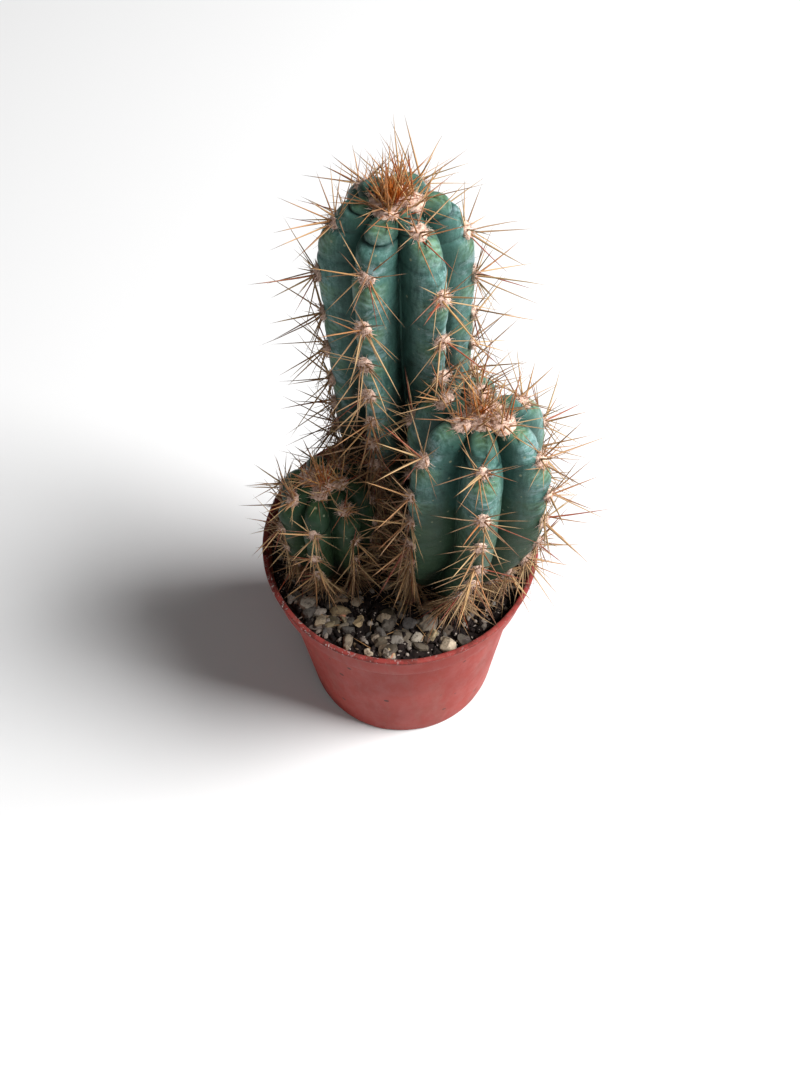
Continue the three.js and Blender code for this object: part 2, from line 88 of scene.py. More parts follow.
# Of each stem: place is its axis at the soil, and lean how far its tip is from there. The radius to
# a crest is foot_share of the full one at the soil and full at foot_reach of the height. The foot is
# moved by foot_shift, which fades to nothing at bend_reach of the height. first_areoles holds how far
# down from the tip each rib's first areole is; the steps between the next ones start at step and
# shrink to least_step. tip_twist, in degrees, and beading, the depth of the beads, are for each rib,
# and bead_cut is how far a bead reaches from one areole towards the next. skirt_tint is the range of
# tints of the old bristles. The skin loses its bloom below fade_from and turns corky below cork_from,
# as shares of the way down.
STEMS = [
    SimpleNamespace(
        name="tall_stem", slot="blue_flesh", seed=11, height=148.8, crest=23, ribs=6, turn=-25.7,
        place=(3.1, 21), lean=(-2.9, 0), foot_share=0.8, foot_reach=0.45,
        foot_shift=(0, 0), bend_reach=0.45, dome=27, dome_power=2.6,
        groove_share=0.5, rib_power=1.15, tip_twist=(10, -5, 0, 14, 0, 0),
        first_areoles=(6.2, 14, 7, 21, 16, 19), step=18.5, shrink=0.91, least_step=11.5,
        beading=(1.15, 0.6, 1.1, 0.7, 0.7, 0.9), bead_cut=0.58,
        spine_length=17.5, crown_length=11, crown_spines=76, top_spines=10, bristles=44,
        skirt_tint=(0.0, 0.38), felt_size=1.0, fade_from=0.5, cork_from=0.52,
    ),
    SimpleNamespace(
        name="middle_stem", slot="blue_flesh", seed=23, height=102, crest=24.5, ribs=6, turn=-1.2,
        place=(25.5, -15.2), lean=(-0.8, -0.5), foot_share=0.32, foot_reach=0.6,
        foot_shift=(-10.8, 4.1), bend_reach=0.6, dome=25.8, dome_power=2.2,
        groove_share=0.5, rib_power=1.3, tip_twist=(0, 0, 0, 0, 0, 0),
        first_areoles=(3.5, 7.5, 16.5, 10, 14, 7), step=16.5, shrink=0.94, least_step=11.5,
        beading=(0.8, 0.15, 0.5, 0.5, 0.5, 0.15), bead_cut=1.0,
        spine_length=16.5, crown_length=7.5, crown_spines=30, top_spines=5, bristles=24,
        skirt_tint=(0.02, 0.85), felt_size=0.94, fade_from=0.2, cork_from=0.85,
    ),
    SimpleNamespace(
        name="small_stem", slot="green_flesh", seed=38, height=55.2, crest=16.8, ribs=7, turn=-13.3,
        place=(-26.3, -6.2), lean=(0.6, -0.2), foot_share=0.38, foot_reach=0.65,
        foot_shift=(3.3, 0.7), bend_reach=0.4, dome=14.4, dome_power=2.2,
        groove_share=0.6, rib_power=1.5, tip_twist=(0, 0, 0, 0, 0, 0, 0),
        first_areoles=(6, 13, 7, 11, 5, 6.5, 12.5), step=14.2, shrink=0.92, least_step=10.5,
        beading=(0.7, 0.3, 0.5, 0.5, 0.5, 0.3, 0.3), bead_cut=1.0,
        spine_length=13, crown_length=7, crown_spines=26, top_spines=4, bristles=20,
        skirt_tint=(0.05, 0.9), felt_size=0.75, fade_from=0.2, cork_from=0.7,
    ),
]

# ---- Numbers, noise and meshes ----

LATTICE_SIDE = 32
LATTICE = np.random.default_rng(4).random((LATTICE_SIDE,) * 3)


def noise(points, grain, seed=0):
    """Smooth random values from -1 to 1. Each corner of a cubic lattice of side grain has a
    random value, and a point takes the eased average of its cell's eight corners."""
    place = np.asarray(points) / grain + 5.37 * seed
    cell = np.floor(place).astype(int)
    part = place - cell
    part = part * part * (3 - 2 * part)
    total = 0
    for corner in np.ndindex(2, 2, 2):
        at = (cell + corner) % LATTICE_SIDE
        share = np.prod(np.where(np.array(corner) == 1, part, 1 - part), axis=-1)
        total = total + share * LATTICE[at[..., 0], at[..., 1], at[..., 2]]
    return 2 * total - 1


def unit(vectors):
    """The vectors divided by their lengths."""
    return vectors / np.maximum(np.linalg.norm(vectors, axis=-1, keepdims=True), 1e-9)


def around(angle, radius, z):
    """Points at an angle in degrees round the Z axis, from -Y towards +X."""
    turned = np.radians(angle)
    return np.stack(np.broadcast_arrays(radius * np.sin(turned), -radius * np.cos(turned), z), -1)


def ring_faces(rows, columns):
    """Quads of a grid that closes round its columns. Its rows go up and its columns turn
    from the front towards +X, so the faces look outwards."""
    row, column = np.meshgrid(np.arange(rows - 1), np.arange(columns), indexing="ij")
    after = (column + 1) % columns
    corners = (row * columns + column, row * columns + after)
    corners += ((row + 1) * columns + after, (row + 1) * columns + column)
    return np.stack(corners, -1).reshape(-1, 4)


def fan_faces(pole, ring_start, columns, upwards):
    """Triangles from a pole to a ring of points, looking up or down."""
    column = np.arange(columns)
    this, after = ring_start + column, ring_start + (column + 1) % columns
    if not upwards:
        this, after = after, this
    return np.stack((np.full(columns, pole), this, after), -1)


def closed_faces(rows, columns):
    """Faces of a grid that closes round its columns, with a fan to a pole at each end. The poles'
    points come after the grid's, the low one first."""
    count = rows * columns
    return [
        ring_faces(rows, columns),
        fan_faces(count, 0, columns, upwards=False),
        fan_faces(count + 1, count - columns, columns, upwards=True),
    ]


def make_piece(name, points, face_sets, material, slot, replaced=(), **attributes):
    """A finished piece on the body root. points are in millimetres, face_sets are arrays of
    faces with equal numbers of corners, and each attribute has a value for each point."""
    mesh = bpy.data.meshes.new(name)
    mesh.vertices.add(len(points))
    mesh.vertices.foreach_set("co", (points * MM).astype(np.float32).ravel())
    corners = np.concatenate([faces.ravel() for faces in face_sets])
    sides = np.concatenate([np.full(len(faces), faces.shape[1]) for faces in face_sets])
    mesh.loops.add(len(corners))
    mesh.loops.foreach_set("vertex_index", corners.astype(np.int32))
    mesh.polygons.add(len(sides))
    starts = np.concatenate(([0], np.cumsum(sides)[:-1]))
    mesh.polygons.foreach_set("loop_start", starts.astype(np.int32))
    mesh.update(calc_edges=True)
    mesh.polygons.foreach_set("use_smooth", np.ones(len(sides), bool))
    for title, values in attributes.items():
        kind = "FLOAT" if np.ndim(values) == 1 else "FLOAT_COLOR"
        layer = mesh.attributes.new(title, kind, "POINT")
        field = "value" if kind == "FLOAT" else "color"
        layer.data.foreach_set(field, np.asarray(values, np.float32).ravel())
    mesh.materials.append(material)
    piece = bpy.data.objects.new(name, mesh)
    bpy.context.scene.collection.objects.link(piece)
    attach(piece, "root")
    if replaced:
        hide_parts(*replaced)
    return piece


def repeated(points, faces, copies):
    """One shape's faces, repeated for each of its copies in a (copies, points, 3) array."""
    shift = np.arange(copies)[:, None, None] * points
    return (faces[None] + shift).reshape(-1, faces.shape[1])


def opaque(colours):
    """Colours with an alpha of one."""
    return np.concatenate((colours, np.ones((len(colours), 1))), 1)


# ---- Materials ----


class Recipe:
    """Builds one procedural material, node by node: a colour in coats, and relief in layers."""

    def __init__(self, name, constants):
        self.material = bpy.data.materials.new(name)
        self.material.use_nodes = True
        self.tree = self.material.node_tree
        self.shader = self.tree.nodes["Principled BSDF"]
        for socket, value in constants.items():
            self.shader.inputs[socket].default_value = value
        self.place = self.add("ShaderNodeTexCoord").outputs["Object"]
        self.colour = None
        self.relief = None

    def add(self, kind, settings=(), inputs=()):
        """Adds a node, with its settings, and feeds its inputs with sockets or values."""
        node = self.tree.nodes.new(kind)
        for name, value in dict(settings).items():
            setattr(node, name, value)
        for name, value in dict(inputs).items():
            self.feed(node.inputs[name], value)
        return node

    def feed(self, socket, value):
        """Links a socket to an input, or sets a plain value on it."""
        if isinstance(value, bpy.types.NodeSocket):
            self.tree.links.new(value, socket)
        else:
            socket.default_value = value

    def finish(self, **links):
        """Links the colour, the relief and the inputs named, and returns the material."""
        links.update(Base_Color=self.colour, Normal=self.relief)
        for name, value in links.items():
            self.feed(self.shader.inputs[name.replace("_", " ")], value)
        return self.material

    def attribute(self, name, output="Fac"):
        """A value or colour that the mesh carries for each point."""
        return self.add("ShaderNodeAttribute", {"attribute_name": name}).outputs[output]

    def noise(self, grain, detail=3, roughness=0.5, distortion=0.0, stretch=(1, 1, 1)):
        """Noise in the object's own space, with blotches about grain millimetres wide."""
        scale = tuple(1 / (grain * MM * longer) for longer in stretch)
        turned = {"Vector": self.place, "Scale": scale}
        place = self.add("ShaderNodeMapping", (), turned).outputs["Vector"]
        inputs = {"Vector": place, "Scale": 1.0, "Detail": detail}
        inputs.update({"Roughness": roughness, "Distortion": distortion})
        return self.add("ShaderNodeTexNoise", (), inputs).outputs["Fac"]

    def cells(self, grain):
        """The distance to the nearest of scattered points about grain millimetres apart."""
        inputs = {"Vector": self.place, "Scale": 1 / (grain * MM)}
        return self.add("ShaderNodeTexVoronoi", {"feature": "F1"}, inputs).outputs["Distance"]

    def along(self, axis):
        """The place along an axis of the object, in millimetres."""
        split = self.add("ShaderNodeSeparateXYZ", (), {0: self.place})
        return self.math("MULTIPLY", split.outputs[axis], 1 / MM)

    def math(self, operation, first, second=0.0):
        """One sum on two values."""
        return self.add("ShaderNodeMath", {"operation": operation}, {0: first, 1: second}).outputs[0]

    def times(self, product, *values):
        """The product of all the values."""
        for value in values:
            product = self.math("MULTIPLY", product, value)
        return product

    def band(self, value, low, high, first=0.0, last=1.0):
        """Eases from first to last as the value goes from low to high."""
        inputs = {"Value": value, "From Min": low, "From Max": high, "To Min": first, "To Max": last}
        settings = {"interpolation_type": "SMOOTHSTEP"}
        return self.add("ShaderNodeMapRange", settings, inputs).outputs["Result"]

    def mix(self, share, first, second, blend="MIX"):
        """Mixes two colours; share is how much of the second shows."""
        settings = {"data_type": "RGBA", "blend_type": blend}
        colours = [c if isinstance(c, bpy.types.NodeSocket) else (*c, 1.0) for c in (first, second)]
        node = self.add("ShaderNodeMix", settings)
        self.feed(node.inputs[0], share)
        self.feed(node.inputs[6], colours[0])
        self.feed(node.inputs[7], colours[1])
        return node.outputs[2]

    def coat(self, share, colour, blend="MIX"):
        """Lays a colour over the coats so far; share is how well it covers."""
        self.colour = self.mix(share, self.colour, colour, blend)

    def bump(self, height, depth, strength=1.0):
        """Adds bump from a value, depth millimetres high, to the relief so far."""
        inputs = {"Height": height, "Distance": depth * MM, "Strength": strength}
        if self.relief is not None:
            inputs["Normal"] = self.relief
        self.relief = self.add("ShaderNodeBump", (), inputs).outputs["Normal"]


def flesh_material(name, deep, middle, bloom, pale, fresh, lowest, bloom_share):
    """Waxy skin. The flanks by the grooves are painted darker than the crests, as painted shade;
    the crests carry a powdery bloom and paler plates. Under each areole the tissue is fresh, with fine
    growth lines. The bloom is thin on the young tip and on the bare lower skin, low flanks are
    darkened with painted shade, and the foot is corky brown. Creases are darkened with painted shade,
    and pale scars and dark dots lie all over."""
    skin = Recipe(name, {"IOR": 1.42, "Specular IOR Level": 0.14})
    crest = skin.attribute("crest")
    phase = skin.attribute("phase")
    growth = skin.attribute("growth")
    cloud = skin.noise(13, 4, 0.6, 0.6, (1, 1, 1.9))
    mottle = skin.noise(4.6, 5, 0.7)
    grain = skin.noise(1.5, 5, 0.7)
    streak = skin.noise(3.4, 5, 0.6, 0.8, (0.8, 0.8, 3.0))
    brushed = skin.noise(1.6, 5, 0.7, 0.5, (1, 1, 4.5))
    wax = skin.noise(0.9, 4, 0.6, 1.4, (2.4, 2.4, 1))
    faded = skin.math("ADD", skin.attribute("faded"), skin.band(cloud, 0.3, 0.7, -0.1, 0.1))
    worn = skin.math("ADD", skin.attribute("worn"), skin.band(cloud, 0.3, 0.7, -0.14, 0.14))
    bare = skin.band(faded, 0.0, 0.36)
    thin_when_bare = skin.band(bare, 0, 1, 1.0, 0.25)
    thin_when_young = skin.band(skin.band(growth, 22, 5), 0, 1, 1.0, 0.3)

    # Painted shade: the flanks towards the grooves are mixed darker than the crests.
    flank_painted_shade = skin.mix(0.6, deep, middle)
    skin.colour = skin.mix(skin.band(crest, 0.0, 0.12), middle, flank_painted_shade)
    skin.coat(skin.band(crest, 0.3, 0.75), middle)
    powder = skin.times(
        skin.band(cloud, 0.36, 0.64, 0.3, 1.0), skin.band(crest, 0.2, 0.7, 0.1, 1.0),
        skin.band(brushed, 0.36, 0.64, 0.1, 1.0), skin.band(wax, 0.38, 0.6, 0.45, 1.0),
        bloom_share, thin_when_young, thin_when_bare,
    )
    skin.coat(powder, bloom)
    plates = skin.times(
        skin.band(skin.noise(5.5, 4, 0.6, 1.0, (1.5, 1.5, 1)), 0.50, 0.60),
        skin.band(crest, 0.35, 0.8), thin_when_bare, thin_when_young,
        skin.band(wax, 0.36, 0.58, 0.3, bloom_share), 0.6,
    )
    skin.coat(plates, pale)
    below_areole = skin.times(
        skin.band(phase, 0.04, 0.16), skin.band(phase, 0.62, 0.22),
        skin.band(crest, 0.3, 0.9), skin.band(streak, 0.25, 0.65, 0.35, 0.95),
    )
    skin.coat(below_areole, fresh)
    wave = skin.math("ADD", skin.times(growth, 2.9), skin.times(streak, 9.0))
    lines = skin.times(
        skin.math("SINE", wave), skin.band(crest, 0.25, 0.8, 0.0, 0.5),
        skin.band(below_areole, 0.0, 0.5, 0.15, 1.0),
    )
    skin.coat(skin.band(lines, 0.0, 0.5, 0.0, 0.26), bloom)
    skin.coat(skin.band(lines, 0.0, -0.5, 0.0, 0.26), deep)
    skin.coat(skin.band(mottle, 0.5, 0.72, 0.0, 0.6), deep)
    skin.coat(skin.band(bare, 0, 1, 0.0, 0.85), lowest)
    skin.coat(skin.band(growth, 16, 6, 0.0, 0.5), lowest)
    # Painted shade: the creases between beads are darkened.
    skin.coat(skin.times(skin.attribute("crease"), 0.85), deep)
    # Painted shade: the flanks low on the stem are darkened towards near black.
    low_flank_painted_shade = skin.times(skin.band(worn, -0.28, 0.04), skin.band(crest, 0.75, 0.3, 0.0, 0.75))
    skin.coat(low_flank_painted_shade, (0.010, 0.016, 0.013))
    cork = skin.mix(skin.band(grain, 0.35, 0.65), (0.026, 0.016, 0.009), (0.11, 0.068, 0.038))
    skin.coat(skin.band(worn, 0.0, 0.3, 0.0, 0.85), cork)
    skin.coat(skin.band(skin.cells(4.3), 0.13, 0.07, 0.0, 0.65), (0.30, 0.33, 0.22))
    skin.coat(skin.band(skin.cells(2.6), 0.12, 0.06, 0.0, 0.6), (0.02, 0.03, 0.025))
    skin.bump(grain, 0.22, 0.5)
    skin.bump(brushed, 0.16, 0.4)
    skin.bump(lines, 0.07, 0.4)
    skin.bump(mottle, 0.35, 0.5)
    return skin.finish(Roughness=skin.band(powder, 0.0, 0.8, 0.40, 0.62))


def spine_material():
    """Horny needles: amber when young, straw or now and then red-brown when old, rust at the root,
    with a darker tip and greyish fibres. tint is random for each needle, and age grows down the
    stem."""
    horn = Recipe("horny_spines", {"IOR": 1.5, "Specular IOR Level": 0.3})
    along = horn.attribute("along")
    tint = horn.attribute("tint")
    age = horn.attribute("age")
    fibre = horn.noise(0.9, 2, 0.5)
    young = horn.mix(tint, (0.62, 0.14, 0.006), (0.64, 0.30, 0.07))
    old = horn.mix(tint, (0.15, 0.058, 0.030), (0.56, 0.38, 0.19))
    old = horn.mix(horn.band(tint, 0.10, 0.04), old, (0.24, 0.045, 0.028))
    horn.colour = horn.mix(age, young, old)
    root = horn.mix(tint, (0.24, 0.08, 0.028), (0.38, 0.21, 0.09))
    horn.coat(horn.band(along, 0.32, 0.0, 0.0, 0.75), root)
    tip = horn.times(horn.band(along, 0.65, 1.0, 0.0, 0.7), horn.band(age, 0, 0.7, 0.2, 1))
    horn.coat(tip, (0.11, 0.062, 0.042))
    horn.coat(horn.times(horn.band(fibre, 0.4, 0.7, 0.0, 0.22), age), (0.52, 0.40, 0.26))
    horn.bump(fibre, 0.05, 0.4)
    return horn.finish(Roughness=horn.band(age, 0, 1, 0.36, 0.6))


def felt_material():
    """Short pinkish-beige felt with brown depths and pale ends."""
    felt = Recipe("areole_felt", {"Roughness": 0.95, "Sheen Weight": 0.35, "Specular IOR Level": 0.2})
    clump = felt.noise(1.1, 4, 0.6)
    felt.colour = felt.mix(felt.band(clump, 0.3, 0.6), (0.38, 0.19, 0.12), (0.80, 0.58, 0.47))
    felt.coat(felt.attribute("tint"), felt.mix(clump, (0.52, 0.33, 0.25), (0.90, 0.72, 0.60)))
    felt.bump(felt.noise(0.35, 2), 0.2, 0.7)
    return felt.finish()


def pot_material():
    """Satin terracotta-coloured plastic. Inside it is painted a brighter orange-brown, as painted
    light that stands in for light falling on the inner wall. It is redder on the lip, which carries
    grime and crusts of white lime, most of them at the left. The wall has an uneven tone, dusty
    scuffs, vertical streaks of painted soft reflection, a few dark specks and fine grains, and is
    darker where it stands."""
    shell = Recipe("pot_plastic", {"IOR": 1.48, "Specular IOR Level": 0.05})
    height = shell.along("Z")
    cloud = shell.noise(26, 4, 0.55, 0.4)
    dust = shell.noise(5, 6, 0.7, 0.3, (1, 1, 2.4))
    wear = shell.noise(1.6, 5, 0.75)
    shell.colour = shell.mix(shell.band(cloud, 0.3, 0.7), (0.29, 0.038, 0.028), (0.36, 0.054, 0.041))
    shell.coat(shell.band(dust, 0.55, 0.85, 0.0, 0.18), (0.42, 0.15, 0.12))
    # Painted light: the inner wall is painted a brighter orange-brown, as if light fell on it.
    shell.coat(shell.attribute("inner"), (0.44, 0.13, 0.055))
    lip = shell.band(height, POT.lip_foot - 1.6, POT.lip_foot + 0.2)
    shell.coat(lip, shell.mix(cloud, (0.23, 0.030, 0.028), (0.35, 0.070, 0.058)))
    grime = shell.times(lip, shell.band(shell.noise(3.8, 5, 0.7), 0.45, 0.62, 0.0, 0.7))
    shell.coat(grime, (0.10, 0.030, 0.024))
    left = shell.band(shell.along("X"), 12, -30)
    lime = shell.times(
        lip, shell.band(wear, 0.55, 0.62),
        shell.band(shell.noise(8, 3, 0.6, 0.4), 0.46, 0.56, 0.25, 1.0),
        shell.band(left, 0, 1, 0.2, 1.0),
    )
    shell.coat(lime, (0.72, 0.62, 0.58))
    specks = shell.band(shell.cells(9), 0.135, 0.10)
    shell.coat(shell.times(specks, shell.band(cloud, 0.5, 0.53), 0.9), (0.055, 0.014, 0.010))
    # Painted reflection: soft vertical greyish-brown streaks on the wall.
    reflection_streaks = shell.noise(15, 3, 0.5, 0.3, (0.5, 0.5, 2.5))
    shell.coat(shell.band(reflection_streaks, 0.52, 0.68, 0.0, 0.3), (0.26, 0.085, 0.065))
    shell.coat(shell.band(shell.cells(4.3), 0.07, 0.04, 0.0, 0.6), (0.16, 0.05, 0.035))
    shell.coat(shell.band(height, 2.0, 0.3, 0.0, 0.45), (0.16, 0.06, 0.045))
    shell.bump(cloud, 0.5, 0.25)
    shell.bump(wear, 0.10, 0.25)
    shell.bump(lime, 0.35, 0.8)
    return shell.finish(Roughness=shell.band(dust, 0.3, 0.8, 0.36, 0.55))


def soil_material():
    """Damp near-black peat with pale mineral chips. tint makes a crumb pale grit or bark."""
    peat = Recipe("potting_soil", {"Roughness": 0.92, "Specular IOR Level": 0.3})
    grain = peat.noise(1.0, 5, 0.7)
    cloud = peat.noise(7, 3)
    peat.colour = peat.mix(peat.band(grain, 0.35, 0.7), (0.004, 0.0026, 0.0022), (0.022, 0.012, 0.010))
    peat.coat(peat.band(cloud, 0.4, 0.7, 0.0, 0.5), (0.018, 0.010, 0.008))
    chips = peat.times(
        peat.band(peat.cells(1.3), 0.30, 0.20, 0.0, 0.9), peat.band(peat.noise(3.2), 0.5, 0.6)
    )
    peat.coat(chips, (0.50, 0.42, 0.36))
    peat.coat(peat.attribute("tint"), peat.mix(grain, (0.14, 0.10, 0.08), (0.62, 0.54, 0.46)))
    peat.bump(grain, 0.5, 0.9)
    return peat.finish()


def gravel_material():
    """Matte stone in each pebble's own colour, with mottling, dark veins, pale grain and dirt."""
    stone = Recipe("gravel_stone", {"Specular IOR Level": 0.35})
    grain = stone.noise(0.7, 5, 0.7)
    cloud = stone.noise(3.1, 4, 0.6, 0.5)
    dirt = stone.noise(1.9, 5, 0.75)
    stone.colour = stone.attribute("tone", "Color")
    stone.coat(1.0, (1.0, 0.92, 0.81), "MULTIPLY")
    stone.coat(stone.band(cloud, 0.35, 0.75, 0.0, 0.55), (0.78, 0.74, 0.68), "MULTIPLY")
    stone.coat(stone.band(grain, 0.5, 0.75, 0.0, 0.6), (0.10, 0.08, 0.065))
    stone.coat(stone.band(dirt, 0.48, 0.66, 0.0, 0.8), (0.040, 0.028, 0.022))
    stone.coat(stone.band(grain, 0.42, 0.2, 0.0, 0.35), (0.70, 0.64, 0.57))
    stone.bump(grain, 0.16, 0.7)
    stone.bump(cloud, 0.5, 0.5)
    return stone.finish(Roughness=stone.band(grain, 0.2, 0.8, 0.6, 0.85))


# ---- The stems' surfaces ----


def crest_radius(stem, height):
    """Radius to the crest of a rib at a height over the soil. It swells from the foot, holds, and
    closes in a dome whose profile is a superellipse; under the soil it tapers with depth."""
    widening = np.clip(height / stem.height / stem.foot_reach, 0, 1) ** FOOT_POWER
    swelling = stem.foot_share + (1 - stem.foot_share) * widening * (2 - widening)
    into_dome = np.clip((height - stem.height + stem.dome) / stem.dome, 0, 1)
    domed = np.maximum(1 - into_dome**stem.dome_power, 0) ** (1 / stem.dome_power)
    sunk = np.minimum(height, 0) / ROOT_DEPTH
    return stem.crest * swelling * domed * (1 + ROOT_TAPER * sunk)


def groove_share(stem, height):
    """A groove's radius as a share of the crest's: shallow at the foot, full higher up."""
    rise = np.clip(height / (GROOVE_REACH * stem.height), 0, 1)
    return FOOT_GROOVE + (stem.groove_share - FOOT_GROOVE) * rise


def stem_centre(stem, height):
    """The stem's middle at a height over the soil. It leans evenly from foot to tip, and its foot
    bends aside by a shift that fades as the square of what is left of the bend."""
    share = np.clip(height / stem.height, 0, 1)
    bend = (1 - np.clip(share / stem.bend_reach, 0, 1)) ** 2
    return [stem.place[i] + stem.lean[i] * share + stem.foot_shift[i] * bend for i in (0, 1)]


LINE_POINTS = 900
ROOT_POINTS = 40
UNSEEN_STEP = 0.8


def measure_crest(stem):
    """Tables of the crest line from the tip down to the root: its length so far, and height. The
    areoles of each rib are marked along it, after one mark over the tip that carries no areole."""
    above = stem.height * np.cos(np.linspace(0, pi / 2, LINE_POINTS))
    stem.line_height = np.concatenate((above, np.linspace(0, -ROOT_DEPTH, ROOT_POINTS)[1:]))
    radius = crest_radius(stem, stem.line_height)
    steps = np.hypot(np.diff(radius), np.diff(stem.line_height))
    stem.line_depth = np.concatenate(([0], np.cumsum(steps)))
    stem.soil_depth = np.interp(0, -stem.line_height, stem.line_depth)
    stem.areole_depths = []
    for first in stem.first_areoles:
        marks, step = [first - stem.step * UNSEEN_STEP, first], stem.step
        while marks[-1] < stem.line_depth[-1]:
            marks.append(marks[-1] + step)
            step = max(step * stem.shrink, stem.least_step)
        stem.areole_depths.append(np.array(marks))


def rib_angle(stem, rib, depth, height):
    """The angle of a rib's crest, in degrees: its own, two slow waves up the stem, and a twist of
    its own near the tip, which fades as a bell curve of the depth."""
    waves = 1.0 * np.sin(height / 17 + stem.seed) + 0.6 * np.sin(height / 7.3 + 2 * stem.seed)
    twist = np.array(stem.tip_twist)[rib] * np.exp(-((depth / 18) ** 2))
    return stem.turn + 360 / stem.ribs * rib + waves + twist


CREST_ROUND = 0.06
FULL_RIB = 2.7
TIP_GROOVE = 0.56
LOW_GROOVE = 0.95
TIP_FORM_TO = 22
YOUTH_TO = 34
DIP_ABOVE = 3.1
DIP_WIDTH = 1.7
BEAD_DEPTH = 3.0
BEADS_TO = 26
CREASE_WIDTH = 0.6
SHOULDER_RISE = 2.4


def flesh_surface(stem, depth, rib, offset):
    """Points of a stem's skin and what its colours need.

    depth is the way down a crest from the tip, and offset the angle from the crest of rib number
    rib. The radius is the crest's times a share, which falls to the groove's as a power of one
    less a power of the way across. The way across is eased by a hyperbola, so that the crest is
    rounded. Between areoles the rib swells as half a sine wave, and just over each areole it dips
    as a bell curve. Near the tip ribs are fuller, rise as shoulders, and are parted into beads
    whose profile is a half circle, by a crease at a share of the way between areoles. Slow noise
    makes the whole uneven.
    """
    height = np.interp(depth, stem.line_depth, stem.line_height)
    across = np.clip(np.abs(offset) * stem.ribs / 180, 0, 1)
    eased = (np.hypot(across, CREST_ROUND) - CREST_ROUND) / (np.hypot(1, CREST_ROUND) - CREST_ROUND)
    phase, span, to_next = (np.zeros(np.broadcast(depth, rib).shape) for _ in range(3))
    for number, marks in enumerate(stem.areole_depths):
        here = np.broadcast_to(rib == number, phase.shape)
        mine = np.broadcast_to(depth, phase.shape)[here]
        after = np.clip(np.searchsorted(marks, mine), 1, len(marks) - 1)
        span[here] = marks[after] - marks[after - 1]
        phase[here] = (mine - marks[after - 1]) / span[here]
        to_next[here] = marks[after] - mine
    crest = crest_radius(stem, height)
    youth = np.exp(-depth / YOUTH_TO)
    ridge = np.cos(across * pi / 2) ** 1.3
    belly = np.sin(pi * np.clip(phase, 0, 1))
    dip = np.exp(-(((to_next - DIP_ABOVE) / DIP_WIDTH) ** 2))
    cut = stem.bead_cut - 0.08 * across**2
    in_bead = np.where(phase < cut, phase / cut, (phase - cut) / np.maximum(1 - cut, 0.01))
    bead = np.sqrt(np.maximum(1 - (2 * in_bead - 1) ** 2, 0)) - 0.65
    beaded = np.exp(-((depth / BEADS_TO) ** 3)) * np.array(stem.beading)[rib]
    groove = groove_share(stem, height)
    near = np.exp(-((depth / TIP_FORM_TO) ** 2))
    power = stem.rib_power + (FULL_RIB - stem.rib_power) * near + 0.1 * belly
    groove_power = LOW_GROOVE + (TIP_GROOVE - LOW_GROOVE) * near
    share = groove + (1 - groove) * (1 - eased**power) ** groove_power
    room = np.clip(crest / 9, 0, 1)
    lift = (belly * (0.1 + 0.6 * youth) - dip * (0.35 + 0.9 * youth)) * ridge
    lift = lift + BEAD_DEPTH * bead * beaded * (0.85 + 0.15 * ridge)
    angle = rib_angle(stem, rib, depth, height) + offset
    radius = crest * share + lift * room
    centre = stem_centre(stem, height)
    shoulder = np.exp(-(((crest / stem.crest - 0.62) / 0.3) ** 2)) * np.exp(-((depth / 30) ** 4))
    brow = SHOULDER_RISE * stem.crest / 23 * shoulder * (1 - across**3) * (0.6 + 0.4 * belly)
    brow = brow + beaded * BEAD_DEPTH * bead * 0.5 * (1 - across**4) * np.clip(1.3 - crest / 18, 0, 1)
    points = around(angle, radius, height + SOIL.level + brow)
    points[..., 0] += centre[0]
    points[..., 1] += centre[1]
    swell = 0.42 * noise(points, 15, stem.seed) + 0.2 * noise(points, 4.5, stem.seed)
    swell = swell + 0.16 * noise(points * (0.3, 0.3, 1), 1.9, stem.seed)
    points[..., :2] += around(angle, swell * room, 0)[..., :2]
    sideways = np.radians(np.abs(offset)) * crest
    # The crease value darkens the skin's colour at each bead's crease, as painted shade.
    crease = np.exp(-(((phase - cut) * span / CREASE_WIDTH) ** 2))
    values = {
        "crest": np.broadcast_to(1 - across, phase.shape),
        "phase": np.clip(phase, 0, 1),
        "faded": np.broadcast_to(depth / stem.soil_depth - stem.fade_from, phase.shape),
        "worn": np.broadcast_to(depth / stem.soil_depth - stem.cork_from, phase.shape),
        "growth": np.broadcast_to(depth, phase.shape) - 0.6 * sideways,
        "crease": crease * np.minimum(1.5 * beaded, 1),
    }
    return points, values


COLUMNS_PER_RIB = 32
TIP_ROWS_TO = 48
TIP_ROW_STEP = 0.4
ROW_STEP = 0.9


def make_flesh(stem, material):
    """The skin: a grid of rows down the crest line and columns round the ribs, closed at the tip
    and under the soil."""
    low = np.arange(TIP_ROWS_TO, stem.line_depth[-1], ROW_STEP)
    depth = np.concatenate((np.arange(TIP_ROW_STEP, TIP_ROWS_TO, TIP_ROW_STEP), low))
    depth = depth[::-1, None]
    columns = stem.ribs * COLUMNS_PER_RIB
    column = np.arange(columns)[None, :]
    rib = ((column + COLUMNS_PER_RIB // 2) // COLUMNS_PER_RIB) % stem.ribs
    offset = (column - rib * COLUMNS_PER_RIB + columns / 2) % columns - columns / 2
    offset = offset * 360 / columns
    points, values = flesh_surface(stem, depth, rib, offset)
    flat = points.reshape(-1, 3)
    foot = flat[:columns].mean(0)
    tip = flat[-columns:].mean(0) + (0, 0, 0.02)
    whole = np.concatenate((flat, [foot, tip]))
    laid = {}
    for key, value in values.items():
        laid[key] = np.concatenate((value.ravel(), [value[0].mean(), value[-1].mean()]))
    faces = closed_faces(len(depth), columns)
    make_piece(stem.name + "_flesh", whole, faces, material, stem.slot, (stem.name,), **laid)


# ---- What is in the way of a spine ----


